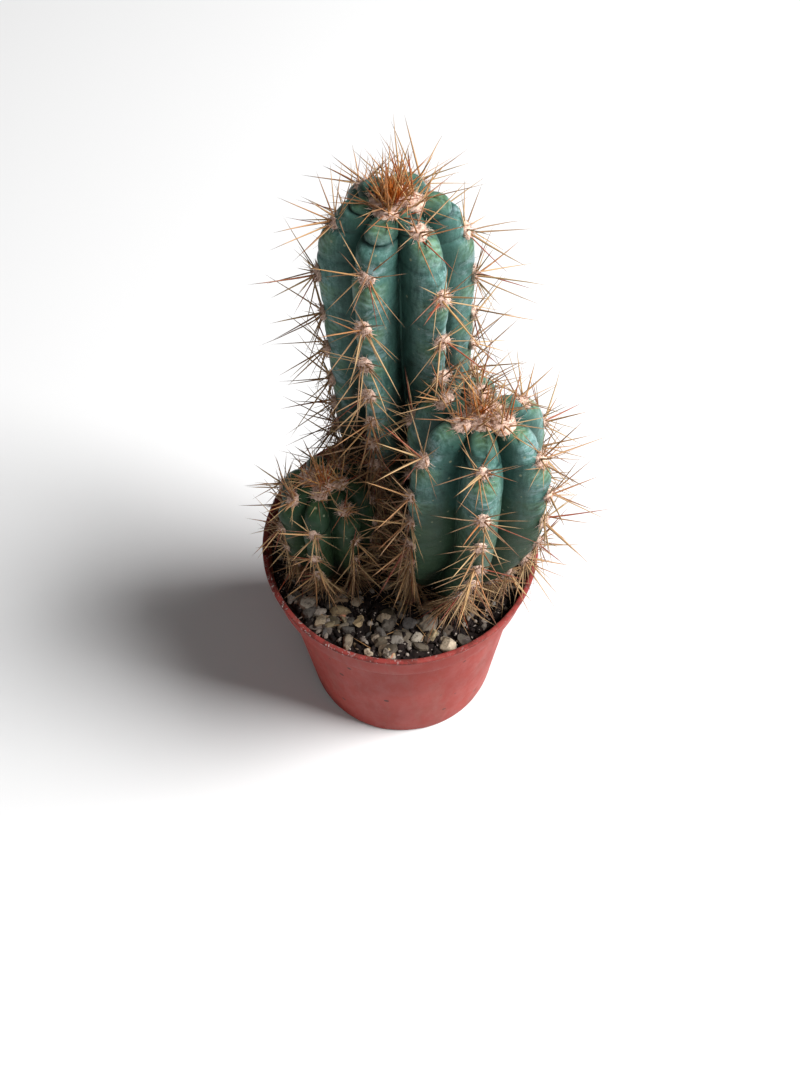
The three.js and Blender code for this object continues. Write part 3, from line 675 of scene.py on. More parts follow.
def soil_height(x, y):
    """Height of the soil: a gentle heap, crumbs, and a rise towards the front left."""
    heap = SOIL.heap * np.sin(x * SOIL.heap_turns[0] + 1) * np.cos(y * SOIL.heap_turns[1])
    wide, narrow = SOIL.crumb_turns
    crumbs = SOIL.crumb * np.sin(wide * x + narrow * y) * np.sin(wide * y - narrow * x)
    rise = SOIL.front_left_rise * np.clip((-x - y) / (2 * POT.wall_top_radius), 0, 1)
    return SOIL.level + heap + crumbs + rise


def pot_inner_radius(height):
    """The pot's inner radius: the wall's below the collar and the collar's in it."""
    wall = POT.foot_radius + POT.wall_slope * height - POT.wall
    up = (height - POT.collar_foot) / POT.collar_height
    collar = POT.collar_radius - POT.collar_taper * (1 - up) - POT.wall
    return np.where(height < POT.collar_foot + POT.wall, wall, collar)


AIR = 0.4
WALL_AIR = 0.5
OWN_MARGIN = -0.5
FREE_ROOT = 0.14
STOP_SHORT = 0.09
CLEAR = 0.98


def in_the_way(points, own, margin):
    """Whether points lie in a stem's flesh, in the soil or in the pot. margin is kept from the
    other stems, and a spine may graze its own. A stem's radius in a direction is its crest's times
    a share that falls to its groove's as a power of one less a power of the way across."""
    x, y, z = points[..., 0], points[..., 1], points[..., 2]
    from_middle = np.hypot(x, y)
    blocked = (z < soil_height(x, y) + AIR) & (from_middle < POT.rim_radius)
    wall = (from_middle > pot_inner_radius(z) - WALL_AIR) & (from_middle < POT.rim_radius + AIR)
    blocked |= wall & (z < POT.height + AIR)
    for stem in STEMS:
        height = z - SOIL.level
        centre = stem_centre(stem, height)
        ribs = (np.degrees(np.arctan2(x - centre[0], centre[1] - y)) - stem.turn) * stem.ribs / 360
        across = 2 * np.abs(ribs - np.round(ribs))
        groove = groove_share(stem, height)
        share = groove + (1 - groove) * (1 - across**RIB_POWER) ** GROOVE_POWER
        keep = OWN_MARGIN if stem is own else margin
        reach = crest_radius(stem, np.maximum(height, 0)) * share + keep
        away = np.hypot(x - centre[0], y - centre[1])
        blocked |= (away < reach) & (height < stem.height + GAP)
    return blocked


def clear_share(starts, shafts, own, margin=0.5, tests=16):
    """The share of each shaft's length that is free, from its root to the first hit."""
    along = np.linspace(FREE_ROOT, 1, tests)
    points = starts[..., None, :] + shafts[..., None, :] * along[:, None]
    hit = in_the_way(points, own, margin)
    first = np.argmax(hit, axis=-1)
    return np.where(hit.any(-1), np.maximum(along[first] - STOP_SHORT, 0), 1.0)


# ---- Spines and felt ----


def needles(starts, shafts, radii, bends, sides=5, steps=(0, 0.07, 0.35, 0.7)):
    """Tapered, slightly curved needles. A point at share t along a needle is the root plus t
    times the shaft plus t squared times the bend, and its radius falls to nothing at the tip.
    Returns points, face sets and the share t of each point."""
    steps = np.array(steps)
    widths = np.where(steps < 0.05, 1.3, 1.0) * (1 - steps**2)
    ways = unit(shafts)
    helper = np.where(np.abs(ways[:, 2:3]) < 0.8, [[0, 0, 1.0]], [[1.0, 0, 0]])
    first = unit(np.cross(ways, helper))
    second = np.cross(ways, first)
    turn = np.linspace(0, 2 * pi, sides, endpoint=False)
    ring = first[:, None, :] * np.cos(turn)[:, None] + second[:, None, :] * np.sin(turn)[:, None]
    lines = starts[:, None] + shafts[:, None] * steps[:, None] + bends[:, None] * steps[:, None] ** 2
    spread = ring[:, None] * (widths[None, :, None, None] * radii[:, None, None, None])
    rings = (lines[:, :, None] + spread).reshape(len(starts), -1, 3)
    tips = (starts + shafts + bends)[:, None]
    points = np.concatenate((rings, tips), 1)
    each = len(steps) * sides
    quads = ring_faces(len(steps), sides)[:, ::-1]
    point_fan = fan_faces(each, each - sides, sides, upwards=False)
    base = np.arange(sides)[None]
    count = len(starts)
    face_sets = [repeated(each + 1, faces, count) for faces in (quads, point_fan, base)]
    along = np.tile(np.append(np.repeat(steps, sides), 1.0), count)
    return points.reshape(-1, 3), face_sets, along


AREOLE_OVER_SOIL = 2.5
CLIMB_REACH = 0.7


def areoles_of(stem):
    """Where a stem's areoles are: for each, its place on the skin, the frame of its crest (side,
    up and out) and how far down the crest it is. The last ones end a little over the soil."""
    depths, ribs = [], []
    for number, marks in enumerate(stem.areole_depths):
        kept = marks[(marks > 0) & (marks < stem.soil_depth - AREOLE_OVER_SOIL)]
        depths.append(kept)
        ribs.append(np.full(len(kept), number))
    depths, ribs = np.concatenate(depths), np.concatenate(ribs)
    places = flesh_surface(stem, depths, ribs, np.zeros(len(depths)))[0]
    heights = np.interp(depths, stem.line_depth, stem.line_height)
    angles = rib_angle(stem, ribs, depths, heights)
    side = around(angles + 90, 1.0, 0.0)
    outward = around(angles, 1.0, 0.0)
    lower = np.interp(depths + CLIMB_REACH, stem.line_depth, stem.line_height)
    upper = np.interp(depths - CLIMB_REACH, stem.line_depth, stem.line_height)
    widen = crest_radius(stem, upper) - crest_radius(stem, lower)
    bend = np.stack(stem_centre(stem, upper), -1) - np.stack(stem_centre(stem, lower), -1)
    climb = outward * widen[:, None] + UP * (upper - lower)[:, None]
    climb[:, :2] += bend
    up = unit(climb)
    out = unit(np.cross(side, up))
    return SimpleNamespace(
        place=places, side=np.cross(up, out), up=up, out=out, depth=depths, count=len(depths),
        age=depths / stem.soil_depth, height=heights,
    )


def fling(areoles, tilt, turn):
    """Directions that lean from an areole's outward line by tilt, towards turn in the plane of
    the skin, in degrees: 0 is the areole's side and 90 is up."""
    tilt, turn = np.radians(tilt)[..., None], np.radians(turn)[..., None]
    plane = np.cos(turn) * areoles.side + np.sin(turn) * areoles.up
    return np.cos(tilt) * areoles.out + np.sin(tilt) * plane


def free_shafts(stem, starts, options, keep_over):
    """Picks for each spine the first of its options that is clear, or else the clearest one,
    cut to what is free. Returns which spines are kept and their shafts."""
    free = clear_share(starts[:, None], options, stem)
    score = np.where(free > CLEAR, 2.0 - np.arange(options.shape[1]) * 0.01, free)
    best = np.argmax(score, axis=1)
    row = np.arange(len(starts))
    return free[row, best] > keep_over, options[row, best] * free[row, best][:, None]


# The kinds of spines: ranges of their length as a share of the stem's own, of their radius and of
# their tilt in degrees. turns are where they lean to, scattered by a bell curve.
RADIALS = SimpleNamespace(length=(0.65, 1.2), radius=(0.16, 0.25), tilt=(60, 80), number=12, scatter=7)
CENTRALS = SimpleNamespace(
    length=(0.9, 1.4), radius=(0.23, 0.35), tilt=(22, 52), scatter=14,
    turns=(-78, 150, 28, -140, -40), chances=(1.0, 0.85, 0.75, 0.8, 0.7),
)
TOPS = SimpleNamespace(
    length=(0.7, 1.2), radius=(0.2, 0.31), tilt=(10, 55), scatter=25, depth=14,
    turns=(90, 60, 120, 20, 160, 100, 45, 135, 75, 105),
)
BRISTLES = SimpleNamespace(
    length=(0.5, 1.1), radius=(0.11, 0.20), tilt=(35, 80), turn=(-175, -5), low_share=0.5, droop=0.3,
)
SKIRT = SimpleNamespace(
    length=(0.5, 1.0), radius=(0.09, 0.18), per_rib=64, depth=(3, 13), offset=5, options=8,
    scatter=52, fall=(-0.85, 0.4),
)
CROWN = SimpleNamespace(
    length=(0.45, 0.95), radius=(0.15, 0.24), spread=1.3, lean=(-0.08, -0.2, 0),
    tall_every=5, tall_longer=0.85, tall_tilt=22,
)
TRIES = 6
OLD_AGE = 1.5


def grow_spines(stem, areoles, rng):
    """The spines of all areoles: radials round each one, stouter centrals, upright ones near the
    tip, and a crowd of thin bristles low on the stem that hang over the soil."""
    sets = []

    def draw(kind, number):
        """A kind's lengths, radii and tilts, each drawn evenly from its range."""
        length = stem.spine_length * rng.uniform(*kind.length, number)
        radius = rng.uniform(*kind.radius, number)
        return length, radius, rng.uniform(*kind.tilt, (number, 1))

    def gather(pick, tilt, turn, length, radius, age, droop=0.0, keep_over=0.45):
        """Grows one spine on each picked areole, redrawn until it is clear."""
        some = SimpleNamespace(side=areoles.side[pick, None], up=areoles.up[pick, None],
                               out=areoles.out[pick, None])
        number = len(pick)
        looser = 0.5 + 0.5 * np.arange(TRIES)
        tilts = tilt + rng.normal(0, 9, (number, TRIES)) * looser
        turns = turn + rng.normal(0, 12, (number, TRIES)) * looser
        ways = unit(fling(some, np.clip(tilts, 0, 88), turns) - UP * droop)
        starts = areoles.place[pick] + areoles.out[pick] * 0.2
        starts = starts + areoles.side[pick] * rng.normal(0, 0.8, (number, 1))
        starts = starts + areoles.up[pick] * rng.normal(0, 0.9, (number, 1))
        kept, shafts = free_shafts(stem, starts, ways * length[:, None, None], keep_over)
        bends = rng.normal(0, 0.028, (number, 3)) * np.linalg.norm(shafts, axis=1)[:, None]
        sets.append((starts[kept], shafts[kept], radius[kept], bends[kept], age[kept]))

    every = np.arange(areoles.count)
    older = np.clip(0.78 + areoles.age, 0, 1)
    for number in range(RADIALS.number):
        middle = -90 + 360 / RADIALS.number * (number + 0.5)
        turn = middle + rng.normal(0, RADIALS.scatter, (areoles.count, 1))
        pick = every[rng.random(areoles.count) < np.clip(areoles.depth / 16, 0.6, 0.9)]
        length, radius, tilt = draw(RADIALS, len(pick))
        gather(pick, tilt, turn[pick], length, radius, older[pick])
    for turn, chance in zip(CENTRALS.turns, CENTRALS.chances):
        pick = every[rng.random(areoles.count) < chance]
        length, radius, tilt = draw(CENTRALS, len(pick))
        length = length * np.clip(areoles.depth[pick] / 22, 0.6, 1)
        turns = turn + rng.normal(0, CENTRALS.scatter, (len(pick), 1))
        gather(pick, tilt, turns, length, radius, older[pick] * 0.9)
    tops = every[areoles.depth < TOPS.depth]
    for turn in TOPS.turns[: stem.top_spines]:
        length, radius, tilt = draw(TOPS, len(tops))
        turns = turn + rng.normal(0, TOPS.scatter, (len(tops), 1))
        gather(tops, tilt, turns, length, radius, older[tops] - 0.2)
    reach = BRISTLES.low_share * stem.height
    low = every[areoles.height < reach]
    for _ in range(stem.bristles):
        pick = low[rng.random(len(low)) < 1.3 - areoles.height[low] / reach]
        length, radius, tilt = draw(BRISTLES, len(pick))
        turn = rng.uniform(*BRISTLES.turn, (len(pick), 1))
        age = np.full(len(pick), OLD_AGE)
        gather(pick, tilt, turn, length, radius, age, BRISTLES.droop, keep_over=0.3)
    return sets


def grow_skirt(stem, rng):
    """Old bristles at the foot of a stem: they leave the crests just over the soil, in bunches,
    and lean out and down over it."""
    rib = np.repeat(np.arange(stem.ribs), SKIRT.per_rib)
    count = len(rib)
    depth = stem.soil_depth - rng.uniform(*SKIRT.depth, count)
    offset = rng.normal(0, SKIRT.offset, count)
    starts = flesh_surface(stem, depth, rib, offset)[0]
    options = (count, SKIRT.options)
    angle = (stem.turn + 360 / stem.ribs * rib)[:, None] + rng.normal(0, SKIRT.scatter, options)
    fall = rng.uniform(*SKIRT.fall, options)
    ways = unit(around(angle, 1.0, fall))
    length = stem.spine_length * rng.uniform(*SKIRT.length, count)
    kept, shafts = free_shafts(stem, starts, ways * length[:, None, None], 0.4)
    bends = rng.normal(0, 0.05, (count, 3)) * np.linalg.norm(shafts, axis=1)[:, None]
    radius = rng.uniform(*SKIRT.radius, count)
    return starts[kept], shafts[kept], radius[kept], bends[kept], np.full(kept.sum(), OLD_AGE)


def grow_crown(stem, rng):
    """The tuft on the tip: short upright spines in a sunflower pattern, which lean out with the
    square of their distance and all a little to the front. Some longer ones lean further."""
    count = stem.crown_spines
    number = np.arange(count)
    away = CROWN.spread * np.sqrt((number + 0.5) / count)
    angle = number * GOLDEN_ANGLE + rng.normal(0, 9, count)
    centre = stem_centre(stem, np.full(count, float(stem.height)))
    starts = around(angle, away, 0.0)
    starts += np.stack((centre[0], centre[1], SOIL.level + stem.height - 0.3 - 0.1 * away), -1)
    tall = number % CROWN.tall_every == CROWN.tall_every - 1
    lean = 1 + 9 * (away / CROWN.spread) ** 2 + rng.normal(0, 4, count) + CROWN.tall_tilt * tall
    tilt = np.radians(lean)
    ways = around(angle + rng.normal(0, 25, count), np.sin(tilt), np.cos(tilt))
    ways = unit(ways + CROWN.lean)
    length = stem.crown_length * rng.uniform(*CROWN.length, count) * (1 + CROWN.tall_longer * tall)
    radius = rng.uniform(*CROWN.radius, count) * (1 + 0.3 * tall)
    shafts = ways * length[:, None]
    free = clear_share(starts, shafts, stem)
    shafts = shafts * free[:, None]
    bends = rng.normal(0, 0.03, (count, 3)) * length[:, None]
    kept = free > 0.4
    return starts[kept], shafts[kept], radius[kept], bends[kept], 0.7 * tall[kept] - 0.4


def make_spines(stem, areoles, material):
    """One piece with all of a stem's spines."""
    rng = np.random.default_rng(stem.seed)
    sets = grow_spines(stem, areoles, rng)
    sets.append(grow_crown(stem, rng))
    sets.append(grow_skirt(stem, rng))
    starts, shafts, radii, bends, age = (np.concatenate(part) for part in zip(*sets))
    points, faces, along = needles(starts, shafts, radii, bends)
    each = len(points) // len(starts)
    shade = rng.random(len(starts))
    least, most = stem.skirt_tint
    shade = np.where(age < 0, 0.12 + 0.4 * shade, shade)
    shade = np.where(age > 1.2, least + (most - least) * shade, shade)
    tint = np.repeat(shade, each)
    ages = np.repeat(np.clip(age + rng.normal(0, 0.14, len(starts)), 0, 1), each)
    name = stem.name + "_spines"
    make_piece(name, points, faces, material, "spines", along=along, tint=tint, age=ages)


CUSHION = (2.15, 2.3, 1.15)
CUSHION_ROWS = 6
CUSHION_COLUMNS = 14
FIBRES = 100


def felt_cushions(places, frames, size):
    """Lumpy cushions, the upper part of an ellipsoid with noise. frames holds the side, up and
    outward directions of each. Returns their points and faces."""
    slope = np.radians(np.linspace(-35, 80, CUSHION_ROWS))[:, None]
    turn = np.linspace(0, 2 * pi, CUSHION_COLUMNS, endpoint=False)[None]
    wide, tall, thick = CUSHION
    dome = np.stack((
        wide * np.cos(slope) * np.cos(turn),
        tall * np.cos(slope) * np.sin(turn),
        thick * np.sin(slope) + 0 * turn,
    ), -1).reshape(-1, 3)
    dome = np.concatenate((dome, [[0, 0, thick]]))
    side, up, out = (direction[:, None] for direction in frames)
    shape = dome[None, :, :1] * side + dome[None, :, 1:2] * up + dome[None, :, 2:] * out
    points = size[:, None, None] * shape + places[:, None]
    points += 0.55 * noise(points, 1.3, 3)[..., None] * out
    points += 0.35 * noise(points, 1.0, 8)[..., None] * side
    faces = (
        ring_faces(CUSHION_ROWS, CUSHION_COLUMNS),
        fan_faces(len(dome) - 1, len(dome) - 1 - CUSHION_COLUMNS, CUSHION_COLUMNS, upwards=True),
        np.arange(CUSHION_COLUMNS)[None, ::-1],
    )
    return points.reshape(-1, 3), [repeated(len(dome), one, len(places)) for one in faces]


def felt_fibres(places, frames, size, rng):
    """Short curly fibres that leave each cushion in all directions off the skin. Returns their
    points, faces and the share along each."""
    owner = np.repeat(np.arange(len(places)), FIBRES)
    slope = np.arcsin(rng.uniform(-0.2, 1, len(owner)))
    turn = rng.uniform(0, 2 * pi, len(owner))
    spread = (np.cos(slope) * np.cos(turn), np.cos(slope) * np.sin(turn), np.sin(slope))
    frames = [direction[owner] for direction in frames]
    rooted = [(part * reach)[:, None] * way for part, reach, way in zip(spread, CUSHION, frames)]
    starts = places[owner] + 0.85 * size[owner][:, None] * sum(rooted)
    lifted = (spread[0], spread[1], spread[2] + 0.2)
    outward = unit(sum(part[:, None] * way for part, way in zip(lifted, frames)))
    ways = unit(outward + rng.normal(0, 0.55, outward.shape))
    shafts = ways * (rng.uniform(0.7, 2.1, len(owner)) * size[owner])[:, None]
    bends = rng.normal(0, 0.45, shafts.shape)
    radii = rng.uniform(0.06, 0.12, len(owner))
    return needles(starts, shafts, radii, bends, sides=3, steps=(0, 0.5, 0.8))


def make_felt(stem, areoles, material):
    """One piece with the felt of all of a stem's areoles and of its tip. Pads are larger near the
    tip, by a bell curve of the depth, and shrink with age."""
    rng = np.random.default_rng(stem.seed + 100)
    tip = flesh_surface(stem, np.full(1, 0.4), np.zeros(1, int), np.zeros(1))[0]
    places = np.concatenate((areoles.place, tip))
    at_tip = ([[1.0, 0, 0]], [[0, 1.0, 0]], [[0, 0, 1.0]])
    frames = [np.concatenate(pair) for pair in zip((areoles.side, areoles.up, areoles.out), at_tip)]
    size = rng.uniform(0.88, 1.12, len(places)) * np.append(1.36 - 0.4 * areoles.age, 1.8)
    size[:-1] *= 1 + 0.5 * np.exp(-((areoles.depth / 14) ** 2))
    size *= stem.felt_size
    cushions, faces = felt_cushions(places, frames, size)
    fuzz, fuzz_faces, along = felt_fibres(places, frames, size, rng)
    points = np.concatenate((cushions, fuzz))
    faces += [one + len(cushions) for one in fuzz_faces]
    tint = np.concatenate((np.zeros(len(cushions)), 0.25 + 0.75 * along))
    name = stem.name + "_felt"
    make_piece(name, points, faces, material, "areole_felt", tint=tint)


# ---- Pot ----


def rounded_profile(corners, steps=5):
    """A closed profile whose corners are rounded. Each corner (radius, height, rounding) becomes
    a short curve between points at that rounding before and after it, with the corner itself as
    the curve's handle."""
    points = np.array([corner[:2] for corner in corners], float)
    rounding = np.array([corner[2] for corner in corners], float)
    before, after = np.roll(points, 1, 0), np.roll(points, -1, 0)
    t = np.linspace(0, 1, steps)[None, :, None]
    start = points + unit(before - points) * rounding[:, None]
    end = points + unit(after - points) * rounding[:, None]
    bend = (1 - t) ** 2 * start[:, None] + 2 * t * (1 - t) * points[:, None] + t**2 * end[:, None]
    kept = [bend[i] if rounding[i] else points[i : i + 1] for i in range(len(points))]
    return np.concatenate(kept)

POT_ROW = 3.0
POT_COLUMNS = 288
ROWS_OVER_LIP = 8
NOTCH_EASE = 0.9
WOBBLE_FROM = 6
DRAIN_SIDES = 32
CUTTER_OVER = 3.0


def make_pot(material):
    """The pot: one profile turned round the Z axis, from the middle of the pad's underside, up
    the outside, over the lip and down the inside to the floor. The foot's ring is raised at its
    notches, slow noise makes the wall a little uneven, and the drain holes are cut through the
    floor."""

    def inner(height):
        """The inner radius at a height, as a plain number."""
        return float(pot_inner_radius(height))

    foot_inner = POT.foot_radius - POT.foot_width
    corners = [
        (POT.pad_radius, 0, 0.3),
        (POT.pad_radius + POT.bevel, POT.foot_height, 0.3),
        (foot_inner - POT.bevel, POT.foot_height, 0.3),
        (foot_inner, 0, 0.3),
        (POT.foot_radius - POT.bevel, 0, 0.3),
        (POT.foot_radius, POT.bevel, 0.3),
        (POT.wall_top_radius, POT.collar_foot, 0.35),
        (POT.collar_radius - POT.collar_taper, POT.collar_foot + GAP, 0.8),
        (POT.collar_radius, POT.lip_foot - POT.lip_round, 0.3),
        (POT.rim_radius - 0.1, POT.lip_foot, 0.45),
        (POT.rim_radius, POT.height, 0.75),
        (POT.rim_radius - POT.lip_width, POT.height, 0.75),
        (inner(POT.lip_foot), POT.lip_foot - POT.lip_round, 0.3),
        (inner(POT.collar_foot + POT.shoulder), POT.collar_foot + POT.shoulder, 0.6),
        (inner(POT.collar_foot), POT.collar_foot, 0.6),
        (inner(POT.floor_top), POT.floor_top, 0.9),
        (POT.pad_radius + POT.bevel, POT.floor_top, 0.3),
        (POT.pad_radius - POT.bevel, POT.floor, 0.3),
    ]
    corner_line = rounded_profile(corners)
    filled = [corner_line[:1]]
    for before, after in zip(corner_line[:-1], corner_line[1:]):
        pieces = max(1, int(np.linalg.norm(after - before) / POT_ROW))
        share = np.arange(1, pieces + 1)[:, None] / pieces
        filled.append(before + (after - before) * share)
    profile = np.concatenate(filled)
    angle = np.arange(POT_COLUMNS) * 360 / POT_COLUMNS
    points = around(angle[None], profile[:, :1], profile[:, 1:])
    step = 360 / POT.notch_count
    nearest = (angle + step / 2) % step - step / 2
    beside = np.abs(np.sin(np.radians(nearest))) * POT.foot_radius
    notch = np.clip((POT.notch_width / 2 - beside) / NOTCH_EASE + 0.5, 0, 1) * POT.notch_height
    on_ring = (profile[:, 0] > foot_inner - POT.bevel) & (profile[:, 1] < POT.notch_height)
    raised = np.maximum(points[..., 2], notch[None])
    points[..., 2] = np.where(on_ring[:, None], raised, points[..., 2])
    wobble = 0.16 * noise(points, 31, 5) + 0.05 * noise(points, 6, 6)
    above_foot = profile[:, 1, None, None] > WOBBLE_FROM
    points[..., :2] += around(angle[None], wobble, 0.0)[..., :2] * above_foot
    whole = np.concatenate((points.reshape(-1, 3), [[0, 0, 0], [0, 0, POT.floor]]))
    rows = len(profile)
    inside = np.arange(rows) >= np.argmax(profile[:, 1]) + ROWS_OVER_LIP
    values = np.concatenate((np.repeat(inside.astype(float), POT_COLUMNS), [0, 1]))
    faces = closed_faces(rows, POT_COLUMNS)
    pot = make_piece("pot_shell", whole, faces, material, "pot_plastic", ("pot",), inner=values)
    cut_drains(pot)
    pot.data.set_sharp_from_angle(angle=radians(32))


def cut_drains(pot):
    """Cuts the drain holes through the pot's floor with round cutters, which are then removed."""
    low, high = -CUTTER_OVER, POT.floor_top + CUTTER_OVER
    angle = np.arange(DRAIN_SIDES) * 360 / DRAIN_SIDES
    rings = [around(angle, POT.drain_radius, z) for z in (low, high)]
    cutter = np.concatenate(rings + [[[0, 0, low], [0, 0, high]]])
    turns = (np.arange(POT.drain_count) + 0.5) * 360 / POT.drain_count
    points = cutter + around(turns, POT.drain_circle, 0.0)[:, None]
    polygons = []
    for faces in closed_faces(2, DRAIN_SIDES):
        polygons += repeated(len(cutter), faces, POT.drain_count).tolist()
    mesh = bpy.data.meshes.new("drain_cutters")
    mesh.from_pydata((points.reshape(-1, 3) * MM).tolist(), [], polygons)
    cutters = bpy.data.objects.new("drain_cutters", mesh)
    bpy.context.scene.collection.objects.link(cutters)
    cut = pot.modifiers.new("drains", "BOOLEAN")
    cut.operation = "DIFFERENCE"
    cut.solver = "EXACT"
    cut.object = cutters
    bpy.context.view_layer.objects.active = pot
    bpy.ops.object.modifier_apply(modifier=cut.name)
    bpy.data.objects.remove(cutters)
    bpy.data.meshes.remove(mesh)


# ---- Soil, stones and loose bits ----


def stone_shape(directions, rng, planes=10, sharpness=110, evenness=0.3, ball=1.6):
    """How far a stone reaches in each direction. Random planes cut a ball, and the stone's
    radius is a soft minimum of the ball's own and of the planes' distances along the direction."""
    facing = unit(rng.normal(0, 1, (planes, 3)))
    distance = rng.uniform(1 - evenness, 1 + evenness, planes)
    lean = np.maximum(directions @ facing.T, 0) / distance
    return ((lean**sharpness).sum(-1) + ball**-sharpness) ** (-1 / sharpness)


def ball_grid(columns, rows):
    """Unit directions on a ball, by latitude and longitude, with its faces."""
    slope = np.linspace(-90, 90, rows + 2)[1:-1, None]
    angle = np.arange(columns)[None] * 360 / columns
    ring = around(angle, np.cos(np.radians(slope)), np.sin(np.radians(slope)))
    whole = np.concatenate((ring.reshape(-1, 3), [[0, 0, -1.0], [0, 0, 1.0]]))
    return whole, closed_faces(rows, columns)


STONE_TONES = [
    (0.30, 0.22, 0.15), (0.56, 0.26, 0.18), (0.60, 0.49, 0.32), (0.60, 0.52, 0.42),
    (0.56, 0.51, 0.45), (0.12, 0.12, 0.13), (0.55, 0.42, 0.33), (0.32, 0.27, 0.22),
    (0.29, 0.28, 0.27), (0.41, 0.39, 0.36), (0.38, 0.33, 0.22), (0.58, 0.51, 0.42),
    (0.52, 0.45, 0.37), (0.32, 0.29, 0.26), (0.30, 0.28, 0.26), (0.36, 0.31, 0.24),
    (0.26, 0.25, 0.25), (0.16, 0.14, 0.14),
]


def make_stones(material):
    """The larger stones: each fills its CAD stone's box, cut by its own planes and worn."""
    directions, faces = ball_grid(columns=52, rows=28)
    for number, tone in enumerate(STONE_TONES, start=1):
        node = f"stone_{number:02d}"
        low, high = (np.array(corner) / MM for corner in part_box(node))
        rng = np.random.default_rng(700 + number)
        reach = stone_shape(directions, rng)
        shape = directions * reach[:, None]
        rough = 0.04 * noise(shape, 0.6, number) + 0.012 * noise(shape, 0.2, number)
        shape = shape * (1 + rough)[:, None]
        least, most = shape.min(0), shape.max(0)
        points = low + (shape - least) / (most - least) * (high - low)
        mottle = 1 + 0.16 * noise(points, 2.6, number)
        shown = opaque(np.array(tone) * mottle[:, None])
        stone = make_piece(node + "_gravel", points, faces, material, "gravel", (node,), tone=shown)
        stone.data.set_sharp_from_angle(angle=radians(22))


def open_places(rng, wanted, reach, stand_off=0.6):
    """Random places on the soil that no stem covers, within reach of the pot's middle."""
    angle = rng.uniform(0, 360, wanted * 3)
    radius = reach * np.sqrt(rng.random(wanted * 3))
    x, y, _ = around(angle, radius, 0.0).T
    free = np.ones(len(x), bool)
    for stem in STEMS:
        middle = stem_centre(stem, 0.0)
        away = np.hypot(x - middle[0], y - middle[1])
        free &= away > crest_radius(stem, 1.0) * FOOT_GROOVE + stand_off
    return x[free][:wanted], y[free][:wanted]


SOIL_RINGS = 120
SOIL_COLUMNS = 300
SOIL_WALL_ROWS = 8
SOIL_EDGE = 3.2


def make_soil(material):
    """The soil: a grid of rings whose height is the soil's own plus three sizes of crumb noise,
    with walls inside the pot and a flat bottom on its floor."""
    reach = float(pot_inner_radius(SOIL.level)) - 0.1
    radius = reach * np.linspace(1, 0, SOIL_RINGS, endpoint=False)[:, None] ** 0.9
    angle = np.arange(SOIL_COLUMNS)[None] * 360 / SOIL_COLUMNS
    top = around(angle, radius, 0.0)
    x, y = top[..., 0], top[..., 1]
    rough = 0.75 * np.abs(noise(top, 3.4, 1)) + 0.55 * np.abs(noise(top, 1.5, 2))
    rough = rough + 0.22 * noise(top, 0.7, 3)
    top[..., 2] = soil_height(x, y) + rough - 0.5
    bottom = POT.floor_top + 0.1
    walls = [around(angle, float(pot_inner_radius(POT.floor_top)) - 0.9, bottom)]
    for share in np.linspace(0, 1, SOIL_WALL_ROWS)[1:]:
        height = POT.floor_top + 1 + (SOIL.level - SOIL_EDGE - POT.floor_top - 1) * share
        level = min(height, POT.collar_foot - 0.1)
        walls.append(around(angle, float(pot_inner_radius(level)) - 0.15, height))
    grid = np.concatenate(walls + [top])
    middle = [0, 0, float(soil_height(np.zeros(1), np.zeros(1))[0])]
    whole = np.concatenate((grid.reshape(-1, 3), [[0, 0, bottom], middle]))
    faces = closed_faces(len(grid), SOIL_COLUMNS)
    tint = np.zeros(len(whole))
    make_piece("soil_surface", whole, faces, material, "potting_soil", ("soil",), tint=tint)


SHAPES = 12


def scattered(rng, x, y, sizes, sink, columns=6, rows=3, form=(1, 1, 0.72)):
    """Small cut stones at places on the soil, each turned and stretched in its own way. Returns
    their points and faces, and how many points each has."""
    directions, faces = ball_grid(columns, rows)
    count = len(x)
    shapes = np.stack([stone_shape(directions, rng, planes=7, sharpness=30) for _ in range(SHAPES)])
    chosen = rng.integers(0, len(shapes), count)
    local = directions[None] * shapes[chosen][..., None]
    stretch = rng.uniform(0.55, 1.5, (count, 1, 3)) * form
    turn = rng.uniform(0, 2 * pi, count)
    local = local * stretch * sizes[:, None, None]
    turned = local.copy()
    turned[..., 0] = local[..., 0] * np.cos(turn)[:, None] - local[..., 1] * np.sin(turn)[:, None]
    turned[..., 1] = local[..., 0] * np.sin(turn)[:, None] + local[..., 1] * np.cos(turn)[:, None]
    base = np.stack((x, y, soil_height(x, y) + sizes * sink), -1)
    points = (turned + base[:, None]).reshape(-1, 3)
    return points, [repeated(len(directions), one, count) for one in faces], len(directions)


def make_crumbs(material):
    """Loose crumbs of peat, with some pale grit among them."""
    rng = np.random.default_rng(61)
    x, y = open_places(rng, wanted=2600, reach=47.6)
    sizes = rng.uniform(0.35, 1.0, len(x)) ** 1.5 * 1.35
    points, faces, each = scattered(rng, x, y, sizes, sink=0.35)
    pale = (rng.random(len(x)) < 0.13) * rng.uniform(0.4, 1.0, len(x))
    tint = np.repeat(pale, each)
    make_piece("soil_crumbs", points, faces, material, "potting_soil", tint=tint)


